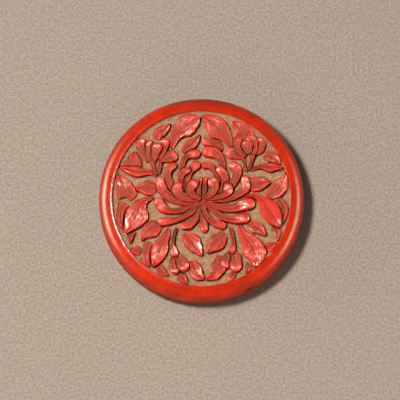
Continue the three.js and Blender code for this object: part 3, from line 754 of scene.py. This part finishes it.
# %% Where each point goes: out to its side and up to the back
strayed = add(tree, "MULTIPLY", [uneven, given["Waver"]])
swollen = add(tree, "ADD", [strayed, 1.0])
breadth = add(tree, "MULTIPLY", [line, swollen])
offset = add(tree, "MULTIPLY", [breadth, across])
out = add(tree, "VectorMath", {0: aside, "Scale": offset}, operation="SCALE")
crest = add(tree, "SUBTRACT", [crest_height, given["Ground Level"]])
rise = add(tree, "MULTIPLY", [crest, shaped])
pressed = add(tree, "SUBTRACT", [rise, pressed_in])
above = add(tree, "MAXIMUM", [pressed, 0.0])
height = add(tree, "ADD", [above, given["Ground Level"]])
foot_point = add(tree, "CombineXYZ", [line_x, line_y, height])
goal = add(tree, "VectorMath", [foot_point, out], operation="ADD")

kept = grid
kept_values = {"hollow": groove, "along": along, "across": across, "lower": lower}
for name, value in kept_values.items():
    kept = add(
        tree, "GeometryNodeStoreNamedAttribute",
        {"Geometry": kept, "Name": name, "Value": value}, data_type="FLOAT", domain="POINT")
moved = add(tree, "GeometryNodeSetPosition", {"Geometry": kept, "Position": goal})
closed = add(tree, "GeometryNodeMergeByDistance", {"Geometry": moved, "Distance": 0.004 * MM})
real = add(tree, "GeometryNodeRealizeInstances", {"Geometry": closed})
coated = add(tree, "GeometryNodeSetMaterial", {"Geometry": real, "Material": given["Lacquer"]})
add(tree, "NodeGroupOutput", {"Solid": coated})
print("the whole tree has", len(tree.nodes), "nodes")

# %% [markdown]
# ## The lines of the relief
# A carver first draws each motif on the lacquer. The drawing is kept as rows of (x, y, half
# width), in thousandths of the field's radius, from the root of a lobe to its tip. Before each
# row stand two shares of the carving's depth: how high the lobe stands at the root and at the
# tip. Lobes and motifs that lie in front come first. The petals of the chrysanthemum all run into
# one heart, which is its last row, and each leaf starts at the twig or petal that it comes out
# from under.

# %% The chrysanthemum's petals
flower_petals = [
    (0.6, 1, [(-10, -10, 20), (-100, 45, 40), (-130, 110, 50), (-85, 170, 45)]),
    (0.55, 0.9, [(-20, 20, 15), (-30, 90, 25), (-22, 160, 22), (-10, 225, 20)]),
    (0.55, 0.9, [(20, 20, 12), (40, 100, 22), (35, 170, 22), (45, 225, 20)]),
    (0.6, 1, [(20, 0, 20), (100, 50, 45), (145, 120, 50), (125, 185, 50)]),
    (0.5, 0.95, [(-30, -20, 20), (-150, 0, 42), (-240, 40, 52), (-275, 100, 52), (-265, 140, 45)]),
    (0.5, 0.95, [(40, -10, 20), (150, 10, 30), (240, 35, 37), (298, 80, 43), (295, 120, 45)]),
    (0.45, 0.9, [
        (-200, 100, 35), (-235, 190, 38), (-230, 260, 38), (-200, 305, 38), (-155, 320, 28)]),
    (0.3, 0.75, [(-165, 140, 35), (-155, 250, 40), (-120, 325, 40), (-65, 382, 43)]),
    (0.4, 0.92, [
        (-290, 80, 40), (-350, 170, 48), (-380, 260, 40), (-368, 330, 38), (-315, 375, 33)]),
    (0.35, 0.9, [
        (-225, 250, 33), (-222, 360, 33), (-200, 440, 35), (-150, 495, 35), (-65, 512, 43)]),
    (0.4, 0.95, [
        (-80, -45, 28), (-240, -30, 42), (-360, 20, 50), (-440, 100, 48), (-460, 195, 46)]),
    (0.4, 0.95, [(190, 20, 30), (248, 110, 42), (264, 200, 44), (248, 270, 44), (212, 320, 40)]),
    (0.3, 0.8, [(160, 90, 30), (178, 240, 34), (130, 340, 35), (80, 382, 33), (35, 378, 30)]),
    (0.35, 0.88, [(225, 200, 32), (235, 360, 42), (210, 455, 48), (150, 520, 52), (65, 537, 50)]),
    (0.4, 0.92, [(240, 20, 30), (350, 170, 43), (402, 280, 45), (390, 345, 45), (355, 375, 40)]),
    (0.4, 0.95, [(140, -25, 20), (300, 0, 35), (410, 50, 45), (490, 115, 45), (487, 215, 42)]),
    (0.4, 0.95, [(50, -50, 20), (200, -95, 40), (350, -110, 52), (455, -75, 55), (535, -57, 55)]),
    (0.4, 0.95, [
        (30, -60, 20), (130, -130, 30), (250, -215, 36), (370, -240, 40), (478, -220, 52)]),
    (0.45, 0.85, [(20, -60, 20), (35, -150, 30), (80, -225, 36), (150, -280, 36), (235, -306, 36)]),
    (0.35, 0.75, [(0, -100, 18), (8, -200, 32), (20, -280, 42), (28, -345, 36)]),
    (0.45, 0.9, [
        (0, -70, 20), (-35, -170, 38), (-85, -250, 43), (-140, -297, 42), (-200, -313, 34)]),
    (0.4, 0.88, [
        (-20, -70, 20), (-130, -160, 35), (-260, -232, 34), (-360, -255, 38), (-430, -262, 42)]),
    (0.4, 0.9, [
        (-30, -50, 25), (-180, -110, 38), (-300, -142, 32), (-420, -118, 42), (-475, -52, 48)]),
    (0.3, 0.3, [(-80, -30, 50), (0, -30, 70), (80, -30, 50)]),
]
print("the chrysanthemum has", len(flower_petals) - 1, "petals")

# %% The blossoms, the buds and the petals behind the flower
upper_left_blossom = [
    (0.5, 0.88, [(-545, 430, 30), (-520, 505, 46), (-505, 578, 52)]),
    (0.45, 0.84, [(-570, 430, 28), (-590, 520, 40), (-582, 615, 43)]),
    (0.4, 0.76, [(-600, 430, 34), (-638, 510, 52), (-667, 590, 57), (-678, 630, 54)]),
    (0.35, 0.75, [(-485, 460, 34), (-437, 550, 46), (-415, 640, 45)]),
    (0.4, 0.75, [(-460, 445, 30), (-395, 467, 56), (-342, 482, 62)]),
    (0.3, 0.5, [(-505, 250, 20), (-530, 330, 22), (-552, 400, 26), (-560, 450, 30)]),
    (0.4, 0.55, [(-495, 240, 26), (-478, 330, 24), (-462, 420, 24), (-450, 470, 22)]),
]
upper_right_blossom = [
    (0.5, 0.85, [(540, 520, 30), (522, 565, 54), (513, 602, 54)]),
    (0.42, 0.7, [(572, 500, 30), (585, 570, 50), (577, 630, 58), (562, 665, 52)]),
    (0.4, 0.7, [(490, 490, 30), (432, 560, 50), (415, 620, 52), (428, 655, 43)]),
    (0.4, 0.75, [(612, 510, 26), (655, 560, 47), (668, 610, 50), (652, 645, 45)]),
    (0.3, 0.5, [(480, 470, 20), (405, 495, 50), (345, 520, 56), (325, 525, 50)]),
    (0.5, 0.85, [(530, 325, 18), (552, 400, 22), (565, 460, 26), (572, 510, 28)]),
    (0.3, 0.35, [(500, 310, 18), (485, 380, 18), (465, 450, 20), (450, 480, 20)]),
]
lower_right_bud = [
    (0.5, 0.7, [(320, -330, 20), (345, -420, 23), (357, -520, 24), (345, -590, 30)]),
    (0.5, 0.8, [(345, -600, 30), (385, -675, 62), (380, -765, 58)]),
    (0.55, 0.85, [(325, -610, 30), (290, -675, 56), (275, -735, 50)]),
    (0.3, 0.4, [(395, -830, 20), (350, -865, 38), (325, -895, 33)]),
]
lower_left_bud = [
    (0.5, 0.75, [(-285, -335, 18), (-310, -420, 20), (-322, -520, 21), (-303, -620, 36)]),
    (0.55, 0.92, [(-275, -640, 30), (-232, -710, 60), (-205, -765, 54)]),
    (0.5, 0.85, [(-300, -640, 30), (-315, -730, 52), (-300, -810, 44)]),
]
back_petal_left = [
    (0.45, 0.8, [(-200, 530, 40), (-150, 600, 55), (-85, 645, 50), (-20, 730, 8)]),
]
back_petal_right = [
    (0.4, 0.6, [(225, 560, 30), (165, 625, 45), (90, 640, 45), (45, 652, 36)]),
]
print("the blossoms have", len(upper_left_blossom), "and", len(upper_right_blossom), "lobes")

# %% The leaves
leaves = {
    "leaf_top_left": (0.5, 0.95, [
        (-335, 580, 22), (-290, 720, 60), (-190, 825, 118), (-90, 890, 90), (-15, 940, 8)]),
    "leaf_top_right": (0.5, 0.9, [
        (335, 580, 22), (275, 700, 60), (190, 800, 115), (90, 885, 78), (0, 950, 8)]),
    "leaf_right_large": (0.5, 0.9, [
        (470, 35, 15), (600, 30, 25), (690, -30, 60), (765, -140, 105), (830, -240, 75),
        (888, -340, 8)]),
    "leaf_left_large": (0.5, 1, [
        (-500, 5, 15), (-610, -10, 28), (-688, -80, 80), (-728, -190, 124), (-785, -290, 88),
        (-850, -395, 8)]),
    "leaf_lower_right_large": (0.5, 0.9, [
        (420, -300, 22), (470, -410, 50), (550, -525, 105), (610, -640, 115), (600, -790, 8)]),
    "leaf_lower_left_large": (0.5, 0.98, [
        (-370, -340, 20), (-420, -460, 55), (-465, -580, 88), (-505, -680, 68), (-548, -785, 8)]),
    "leaf_right_long": (0.5, 0.9, [
        (540, 325, 14), (660, 365, 26), (770, 355, 48), (850, 352, 30), (925, 345, 8)]),
    "leaf_left_long": (0.5, 0.92, [
        (-500, 270, 26), (-600, 305, 32), (-720, 305, 56), (-820, 325, 42), (-930, 365, 8)]),
    "leaf_upper_left": (0.45, 0.95, [
        (-510, 690, 50), (-465, 755, 60), (-410, 800, 45), (-352, 862, 8)]),
    "leaf_upper_right": (0.4, 0.7, [
        (515, 665, 90), (465, 750, 105), (405, 820, 66), (338, 888, 8)]),
    "leaf_right_shoulder": (0.5, 0.8, [
        (700, 465, 20), (762, 487, 62), (830, 445, 50), (890, 375, 8)]),
    "leaf_right_inner": (0.5, 0.8, [(555, 162, 68), (630, 168, 80), (700, 180, 58), (778, 190, 8)]),
    "leaf_right_tip": (0.35, 0.9, [(750, 30, 45), (845, 105, 90), (910, 190, 62), (955, 305, 8)]),
    "leaf_right_edge": (0.7, 0.85, [
        (860, -15, 30), (915, -80, 50), (925, -180, 38), (900, -300, 8)]),
    "leaf_right_low": (0.4, 0.75, [(830, -290, 55), (845, -380, 45), (852, -490, 8)]),
    "leaf_right_small": (0.45, 0.8, [
        (530, -280, 40), (600, -320, 68), (660, -360, 50), (725, -430, 8)]),
    "leaf_lower_right_edge": (0.4, 0.7, [(720, -560, 40), (770, -540, 50), (840, -500, 8)]),
    "leaf_lower_right_low": (0.3, 0.75, [(545, -720, 30), (525, -780, 40), (500, -860, 8)]),
    "leaf_bottom_right": (0.5, 0.9, [
        (220, -660, 50), (195, -765, 78), (145, -855, 70), (55, -925, 8)]),
    "leaf_below_flower_right": (0.7, 0.75, [
        (250, -400, 45), (185, -480, 92), (120, -545, 68), (65, -625, 8)]),
    "leaf_below_flower_left": (0.7, 0.95, [
        (-190, -410, 45), (-120, -485, 90), (-60, -560, 68), (12, -655, 8)]),
    "leaf_bottom": (0.6, 0.85, [(-110, -710, 35), (-75, -790, 70), (-45, -860, 70), (35, -920, 8)]),
    "leaf_bottom_left_low": (0.5, 0.75, [(-225, -830, 30), (-220, -890, 50), (-155, -980, 8)]),
    "leaf_lower_left_low": (0.4, 0.7, [(-475, -770, 40), (-450, -830, 45), (-365, -880, 8)]),
    "leaf_lower_left_side": (0.5, 0.85, [
        (-600, -500, 42), (-615, -600, 52), (-628, -690, 55), (-578, -780, 8)]),
    "leaf_lower_left_edge": (0.35, 0.5, [(-680, -590, 40), (-730, -590, 55), (-795, -565, 8)]),
    "leaf_left_small": (0.45, 0.65, [
        (-470, -290, 55), (-545, -335, 90), (-615, -390, 66), (-680, -475, 8)]),
    "leaf_left_edge": (0.6, 0.7, [
        (-870, -60, 65), (-900, -150, 55), (-905, -250, 45), (-868, -390, 8)]),
    "leaf_left_low": (0.5, 0.65, [(-790, -370, 52), (-797, -430, 35), (-798, -515, 8)]),
    "leaf_left_upper": (0.5, 0.95, [
        (-790, 5, 85), (-845, 65, 108), (-880, 155, 80), (-940, 285, 8)]),
    "leaf_left_inner": (0.4, 0.7, [
        (-530, 128, 62), (-590, 125, 86), (-670, 122, 56), (-758, 115, 8)]),
    "leaf_left_shoulder": (0.5, 0.75, [(-780, 340, 110), (-768, 430, 85), (-758, 545, 12)]),
}
print("there are", len(leaves), "leaves")

# %% [markdown]
# ## From a row of numbers to a ridge
# A smooth curve goes through the rows of numbers, and the same curve carries the width. A petal
# has a round tip, so its line runs on past the last point while the width falls to nothing
# there. A leaf comes to a point by itself. The root ends in the same round way, under its
# neighbours. The crest sinks to the ground at both ends, and so the solid closes there.

# %% Smooth lines through the rows
def smooth_step(value):
    share = np.clip(value, 0, 1)
    return share * share * (3 - 2 * share)


def between(a, b, start, end, t):
    """The point between a and b at the time t, where a has the time start and b has end."""
    return (end - t) / (end - start) * a + (t - start) / (end - start) * b


def smooth_points(rows, spacing=0.12, samples=40, fewest=12):
    """Points at even steps, in mm, on a centripetal Catmull-Rom curve through the rows."""
    row = np.array(rows) / 1000 * field_radius
    row = np.vstack([2 * row[0] - row[1], row, 2 * row[-1] - row[-2]])
    points = []
    for a, b, c, d in zip(row, row[1:], row[2:], row[3:]):
        t1 = np.linalg.norm(b - a) ** 0.5
        t2 = t1 + np.linalg.norm(c - b) ** 0.5
        t3 = t2 + np.linalg.norm(d - c) ** 0.5
        t = np.linspace(t1, t2, samples, endpoint=False)[:, None]
        bc = between(b, c, t1, t2, t)
        before = between(between(a, b, 0, t1, t), bc, 0, t2, t)
        after = between(bc, between(c, d, t2, t3, t), t1, t3, t)
        points.append(between(before, after, t1, t2, t))
    points = np.vstack([*points, row[-2]])
    lengths = np.linalg.norm(np.diff(points[:, :2], axis=0), axis=1)
    run = np.concatenate([[0], np.cumsum(lengths)])
    steps = np.linspace(0, run[-1], max(fewest, int(run[-1] / spacing)))
    return np.stack([np.interp(steps, run, points[:, k]) for k in range(3)], axis=1)


print("a petal's line has", len(smooth_points(flower_petals[0][2])), "points")

# %% Give a line its crest and its ends
cap_angles = np.radians([14, 28, 41, 53, 64, 73, 80, 85, 89])
cap_fullness = 0.45
root_bulge, tip_bulge = 0.25, 1
leaf_point = 0.06


def cap(end, inner, bulge):
    """Points past the end of a line, where its width and its crest fall to nothing."""
    ahead = (end[:2] - inner[:2]) / np.linalg.norm(end[:2] - inner[:2])
    return np.array([
        [*(end[:2] + ahead * end[2] * bulge * math.sin(a)), end[2] * math.cos(a),
         end[3] * math.cos(a) ** cap_fullness, end[4]]
        for a in cap_angles
    ])


def ridge_line(lobe, blunt):
    """Rows of (x, y, half width, crest height, place), with the two ends rounded off."""
    root_rise, tip_rise, rows = lobe
    line = smooth_points(rows)
    place = np.linspace(0, 1, len(line))
    if blunt:  # a petal rises along its length and widens towards its tip
        crest = root_rise + (tip_rise - root_rise) * smooth_step((place - 0.15) / 0.75)
        line[:, 2] *= 0.94 + 0.28 * smooth_step((place - 0.6) / 0.3)
    else:  # half a leaf starts low and reaches its height early
        crest = root_rise + (tip_rise - root_rise) * place
        crest *= 0.45 + 0.55 * smooth_step(place / 0.4)
        line[:, 2] *= 1.05
    body = np.column_stack([line, crest * carve_depth, place])
    root = cap(body[0], body[1], root_bulge)[::-1]
    if blunt:
        return np.vstack([root, body, cap(body[-1], body[-2], tip_bulge)])
    body[:, 3] *= np.maximum(np.clip((1 - place) / leaf_point, 0, 1) ** 0.5, 0.05)
    return np.vstack([root, body])


longest = max(len(ridge_line(petal, True)) for petal in flower_petals)
print("the longest petal's line has", longest, "points with its round ends")

# %% [markdown]
# ## Letting one lobe lie over another
# Where two lobes meet, the carver cuts down beside the one in front, so that the one behind
# seems to come out from under it. Each point of the lobe behind is lowered by how near it lies
# to the lobe in front. Between motifs the cut goes all the way down to the ochre, apart from two
# leaves that run on behind a blossom and a bud. Inside one motif it goes part of the way, and it
# runs out towards the root, where petals grow together. The foot of every lobe is set a little
# into the ochre, so that no gap shows under it.

# %% Cut one lobe back from another
channel = 0.22
cut_width = 0.3
petal_clearance = 0.02
wall_clearance = 0.25
sunk = 0.12
foot_level = ground - sunk
petal_cut_share = 0.72
runs_behind = {"leaf_upper_right", "leaf_bottom_right"}
behind_cut_share = 0.55
carved_before = []


def cut_by(points, lines, clearance, nearby=1.5):
    """The deepest cut that any of the lines makes at each point."""
    deepest = np.zeros(len(points))
    for line in lines:
        low, high = points[:, :2].min(axis=0) - nearby, points[:, :2].max(axis=0) + nearby
        margin = line[:, 2:3]
        inside = (line[:, :2] + margin > low) & (line[:, :2] - margin < high)
        near = line[np.all(inside, axis=1)]
        if not len(near):
            continue
        away = np.hypot(points[:, 0:1] - near[:, 0], points[:, 1:2] - near[:, 1]) - near[:, 2]
        share = (1 - smooth_step((away - clearance) / cut_width)) * near[:, 5]
        deepest = np.maximum(deepest, share.max(axis=1))
    return deepest


def cut_back(name, points, own_lines):
    """Lowers a lobe beside those in front, and says how much its own motif did of that."""
    behind = cut_by(points, own_lines, petal_clearance)
    apart = cut_by(points, carved_before, channel - cut_width / 2)
    if name in runs_behind:
        apart = behind_cut_share * apart
    left = (1 - petal_cut_share * behind) * (1 - apart)
    points[:, 2] = foot_level + (points[:, 2] - foot_level) * left
    radius = np.maximum(np.hypot(points[:, 0], points[:, 1]), 0.01)
    points[:, :2] *= np.minimum(1, (field_radius - wall_clearance) / radius)[:, None]
    return behind


print("cuts beside a motif start", channel, "mm from it")

# %% [markdown]
# ## From ridges to solids
# Each lobe's line becomes a curve object whose points carry the half width as their radius and
# the crest as their height. The tree turns it into a solid, and the solid is kept as a plain
# mesh. Petals are full and steep, with a few broad grooves and a hollow that runs out towards the
# tip. Leaves are flatter, with a midrib, one half tilted up, and finer lines down to the tip.

# %% How petals and leaves are cut
both = {"Low Side": (-0.92, 0.39, 0), "Low Softness": 3.0}
petal_cut = {
    **both, "Stations": 72, "Across": 42, "Crown Fullness": 0.72, "Wall Steepness": 0.3,
    "Grooves": 4.0, "Groove Depth": 0.2 * MM, "Valley Depth": 0.3, "Valley Width": 0.95,
    "Valley End": 0.62, "Midrib": 0.0, "Side Tilt": 0.4, "Waver": 0.05,
}
leaf_cut = {
    **both, "Stations": 84, "Across": 64, "Crown Fullness": 0.8, "Wall Steepness": 0.22,
    "Grooves": 6.0, "Groove Depth": 0.13 * MM, "Valley Depth": 0.34, "Valley Width": 0.6,
    "Valley End": 2.0, "Midrib": 0.8, "Side Tilt": 0.5, "Waver": 0.11,
}


def ridge_mesh(line, cut, seed):
    """The points and faces of one lobe, in mm, with the values that the tree kept."""
    data = bpy.data.curves.new("lobe line", "CURVE")
    data.dimensions = "3D"
    spline = data.splines.new("POLY")
    spline.points.add(len(line) - 1)
    places = np.column_stack([line[:, 0], line[:, 1], line[:, 3] + ground]) * MM
    spline.points.foreach_set("co", np.column_stack([places, np.ones(len(line))]).ravel())
    spline.points.foreach_set("radius", line[:, 2] * MM)
    lobe = bpy.data.objects.new("lobe", data)
    bpy.context.scene.collection.objects.link(lobe)
    modifier = lobe.modifiers.new("carved lobe", "NODES")
    modifier.node_group = tree
    chosen = {**cut, "Ground Level": foot_level * MM, "Seed": seed, "Lacquer": relief_red}
    for name, value in chosen.items():
        modifier[lobe_inputs[name]] = value
    evaluated = lobe.evaluated_get(bpy.context.evaluated_depsgraph_get())
    mesh = bpy.data.meshes.new_from_object(evaluated)
    points = np.empty(len(mesh.vertices) * 3)
    mesh.vertices.foreach_get("co", points)
    faces = [tuple(face.vertices) for face in mesh.polygons]
    values = {name: np.empty(len(mesh.vertices)) for name in kept_values}
    for name, amounts in values.items():
        mesh.attributes[name].data.foreach_get("value", amounts)
    bpy.data.objects.remove(lobe)
    bpy.data.curves.remove(data)
    bpy.data.meshes.remove(mesh)
    return points.reshape(-1, 3) / MM, faces, values


trial_points, trial_faces, _ = ridge_mesh(ridge_line(flower_petals[4], True), petal_cut, 1.0)
trial_height = trial_points[:, 2].max() - ground
print("one petal has", len(trial_faces), "faces and stands", round(trial_height, 2), "mm high")

# %% [markdown]
# ## Dust and wear
# Hands have rubbed the relief unevenly, and dust lies where they don't reach. A petal is bright
# at its tip, most of all at the lower right of the chrysanthemum, less at its top, and least at
# its left, at its bottom and where a petal is narrow. For a leaf, a table says how much dust lies
# on it, and how far its upper part and its raised edge are rubbed. The others have a usual wear.

# %% How much dust and polish a lobe has
usual_wear = (0.52, 0.45)
wear = {
    "leaf_right_large": (0.15, 0.1), "leaf_lower_right_large": (0.22, 0.5),
    "leaf_left_large": (0.32, 0.8), "leaf_lower_left_large": (0.35, 0.5),
    "leaf_left_long": (0.36, 0.9), "leaf_bottom": (0.4, 1), "leaf_below_flower_left": (0.4, 1),
    "leaf_upper_left": (0.45, 1), "leaf_top_left": (0.5, 0.8), "leaf_right_tip": (0.5, 0.9),
    "leaf_right_small": (0.5, 0.8), "leaf_left_upper": (0.55, 0.7),
    "leaf_right_shoulder": (0.6, 0.7), "leaf_below_flower_right": (0.6, 0.3),
    "leaf_left_shoulder": (0.68, 0.15), "leaf_right_low": (0.7, 0.8),
    "leaf_right_edge": (0.75, 0.2), "leaf_left_low": (0.8, 0.2),
}
petal_wear = (0.8, 0)
petal_tip, leaf_tip = 0.55, 0.72
narrow_petal = 1.4


def tip_polish(name, line, blunt):
    """How far hands have rubbed the tip of a lobe bright, from 0 to 1."""
    most = 0.6 if name.startswith("blossom") else 1
    if blunt and line[:, 2].max() < narrow_petal:
        most = 0.3
    if name == "chrysanthemum":
        x, y = line[-1, :2] / field_radius
        if x < 0.1 or y < -0.27:
            most = min(most, 0.42)
        elif y > 0:
            most = min(most, 0.62)
    return most


def worn(name, line, blunt, values, behind):
    """The values that the lacquer reads, with the dust and polish of this lobe."""
    along, across = values["along"], values["across"]
    level, rubbed = petal_wear if blunt else wear.get(name, usual_wear)
    # painted shade also goes into the crease where a lobe is cut down beside another of its motif
    hollow = np.maximum(values["hollow"], 0.8 * behind)
    touched = smooth_step((along - 0.5) / 0.4)
    raised_edge = smooth_step((np.abs(across) - 0.5) / 0.3)
    raised_edge *= 1 - smooth_step((values["lower"] - 0.1) / 0.35)
    tip = smooth_step((along - (petal_tip if blunt else leaf_tip)) / 0.25)
    upper = smooth_step((along - 0.3) / 0.35) * (1 - 0.6 * np.minimum(hollow, 1))
    return {
        "hollow": hollow,
        "dust": (1 - 0.85 * touched) * (1 - 0.95 * raised_edge) * level,
        "polish": np.maximum(
            tip_polish(name, line, blunt) * tip, rubbed * np.maximum(raised_edge, upper)),
        "along": along,
        "across": across,
    }


print("wear is set for", len(wear), "of", len(leaves), "leaves")

# %% [markdown]
# ## Putting the motifs together
# A narrow petal has room for two grooves only, and lobes on the left of the field are tilted more
# than those on the right. All lobes of a motif are put into one mesh. Their points were merged by
# the tree already, so only edges that have shrunk to nothing are dissolved.

# %% Carve the motifs, front ones first
rng = np.random.default_rng(7)
two_grooves_below = 1.1
middle_tilt, tilt_fall = 0.8, 0.5
grown_at = 0.35


def carve(name, lobes, cut, blunt):
    """Makes a motif from its lobes, front ones first, and cuts it back from motifs before it."""
    own_lines, all_points, all_faces, all_values = [], [], [], []
    count = 0
    for lobe in lobes:
        line = ridge_line(lobe, blunt)
        full = line[:, 2].max() > two_grooves_below or not blunt
        to_the_right = line[:, 0].mean() / field_radius
        chosen = {
            **cut, "Grooves": cut["Grooves"] if full else 2.0,
            "Side Tilt": cut["Side Tilt"] * (middle_tilt - tilt_fall * to_the_right),
        }
        points, faces, values = ridge_mesh(line, chosen, float(rng.uniform(0, 40)))
        behind = cut_back(name, points, own_lines)
        all_faces += [tuple(corner + count for corner in face) for face in faces]
        all_points.append(points)
        all_values.append(worn(name, line, blunt, values, behind))
        count += len(points)
        grown = smooth_step(line[:, 4] / grown_at)
        own_lines.append(np.column_stack([line, grown]))
    for line in own_lines:
        carved_before.append(np.column_stack([line[:, :5], np.ones(len(line))]))
    joined = {
        key: np.concatenate([values[key] for values in all_values]) for key in all_values[0]}
    mesh = closed_mesh(name, np.vstack(all_points), all_faces, joined, merge=False)
    return finished(f"{name}_carved", mesh, relief_red, sharp=75)


motifs = {
    "chrysanthemum": (flower_petals, petal_cut, True),
    "blossom_upper_left": (upper_left_blossom, petal_cut, True),
    "blossom_upper_right": (upper_right_blossom, petal_cut, True),
    "bud_lower_right": (lower_right_bud, petal_cut, True),
    "bud_lower_left": (lower_left_bud, petal_cut, True),
    "back_petal_left": (back_petal_left, leaf_cut, False),
    "back_petal_right": (back_petal_right, petal_cut, True),
    **{name: ([leaf], leaf_cut, False) for name, leaf in leaves.items()},
}
carved = {name: carve(name, *how) for name, how in motifs.items()}
face_count = sum(len(motif.data.polygons) for motif in carved.values())
print("carved", len(carved), "motifs with", face_count, "faces")

# %% [markdown]
# ## What moves with what
# The lid lifts straight off, and everything that was made for the lid moves with it. Each piece
# also says which node of the measured model it stands for, and the name of its finish.

# %% Tie the pieces to the model
stands_for = [
    (base_coat, "base", "base_red_coat", "red_lacquer"),
    (foot, "base", "foot_ring", "black_lacquer"),
    (underside, "base", "underside_black_coat", "black_lacquer"),
    (lining, "base", "base_black_lining", "black_lacquer"),
    (mouth, "base", "mouth_ring", "black_lacquer"),
    (lid_coat, "lid", "lid_red_coat", "red_lacquer"),
    (lid_lining, "lid", "lid_black_lining", "black_lacquer"),
    (ochre, "lid", "ochre_ground", "ochre_lacquer"),
    *[(piece, "lid", name, "red_lacquer") for name, piece in carved.items()],
]
for piece, body, node, finish in stands_for:
    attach(piece, body)
    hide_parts(node)
print("tied", len(stands_for), "pieces to the base and the lid")

# %% [markdown]
# ## The table
# The box stands on a plain pale surface. One flat sheet, eight metres wide, is the floor, so its
# edge lies outside every view of so small a box. Its paper-like tooth is a fine mottle and bump.

# %% Make the floor
floor_reach = 4


def matt_paper(name):
    material, tree, place, (tooth,) = new_finish(name, (0.85, 4))
    feed(tree, tooth, {"Roughness": 0.8})
    greyer = add(tree, "MapRange", [tooth, 0.38, 0.62])
    return dressed(
        material, "b2aeac", [(greyer, "8d8a88")], [(tooth, 0.1, 0.3)],
        {"Roughness": 0.9, "Specular IOR Level": 0.2})


floor_mesh = bpy.data.meshes.new("floor")
sides = [(-1, -1), (1, -1), (1, 1), (-1, 1)]
floor_mesh.from_pydata(
    [(floor_reach * x, floor_reach * y, 0) for x, y in sides], [], [(0, 1, 2, 3)])
floor = finished("floor", floor_mesh, matt_paper("paper, matt"))
print("the floor is", 2 * floor_reach, "m wide")

# %% [markdown]
# ## Light
# The dark edges on the right of each motif and the short shadow on the right say that the main
# light stands high on the left, and is small enough to keep the shadow's shape. It and a weak wide
# lamp at the front give the lacquer its colours, so they don't show in its gloss. Three others
# show only in the gloss: two low warm strips draw the long highlights on the left and the right
# of the rim, and a small one makes glints on the rubbed petals. So the highlights can be as long
# and bright as they are without changing the colours. A weak even light fills the shadows.

# %% Place the lamps
warm, warmer, white = (1, 0.84, 0.68), (1, 0.76, 0.52), (1, 0.95, 0.88)


def lamp(name, azimuth, height, distance, width, length, watts, colour, in_gloss):
    """A lamp that points at the lid, from an azimuth and a height in degrees."""
    light = bpy.data.lights.new(name, "AREA")
    light.shape = "RECTANGLE"
    light.size, light.size_y = width, length
    light.energy = watts
    light.color = colour
    source = bpy.data.objects.new(name, light)
    bpy.context.scene.collection.objects.link(source)
    turn, lift = math.radians(azimuth), math.radians(height)
    flat = math.cos(lift)
    way = Vector((flat * math.cos(turn), flat * math.sin(turn), math.sin(lift)))
    source.location = Vector((0, 0, rim * MM)) + way * distance
    source.rotation_euler = (-way).to_track_quat("-Z", "Y").to_euler()
    source.visible_glossy = in_gloss
    source.visible_diffuse = not in_gloss


lamp("high lamp on the left", 182, 77.4, 1.0, 0.11, 0.11, 10.9, warm, in_gloss=False)
lamp("wide lamp at the front", 262, 34, 0.7, 0.5, 0.5, 0.8, warm, in_gloss=False)
lamp("small lamp for the glints", 150, 75, 1.0, 0.06, 0.06, 17.0, white, in_gloss=True)
lamp("low strip on the left", 172, 26, 0.7, 0.5, 0.16, 27.0, warmer, in_gloss=True)
lamp("low strip on the right", 0, 34, 0.7, 0.5, 0.1, 17.0, warmer, in_gloss=True)
world = bpy.data.worlds.new("even light")
world.use_nodes = True
world.node_tree.nodes["Background"].inputs["Color"].default_value = (*warm, 1)
world.node_tree.nodes["Background"].inputs["Strength"].default_value = 0.065
bpy.context.scene.world = world
bpy.context.scene.view_settings.view_transform = "Standard"
print("placed", len(bpy.data.lights), "lamps and the even light")

# %% [markdown]
# ## Camera
# The box is seen almost from straight above: the rim looks a little wider at the near side than
# at the far side, and a strip of the base shows under it, which gives a tilt of 10 degrees from
# straight down. A long lens keeps the outline round. At the lid the picture is 146.7 mm wide.

# %% Place the camera
picture_width = 146.7 * MM
tilt_up = math.radians(79.8)
aim_point = Vector((-0.54 * MM, 0.38 * MM, 12 * MM))

camera_data = bpy.data.cameras.new("camera")
camera_data.sensor_width = 36
camera_data.lens = 400
distance = picture_width * camera_data.lens / camera_data.sensor_width
camera = bpy.data.objects.new("camera", camera_data)
camera.location = aim_point + distance * Vector((0, -math.cos(tilt_up), math.sin(tilt_up)))
camera.rotation_euler = (math.radians(90) - tilt_up, 0, 0)
bpy.context.scene.collection.objects.link(camera)
bpy.context.scene.camera = camera
print("the camera stands", round(distance, 3), "m away")
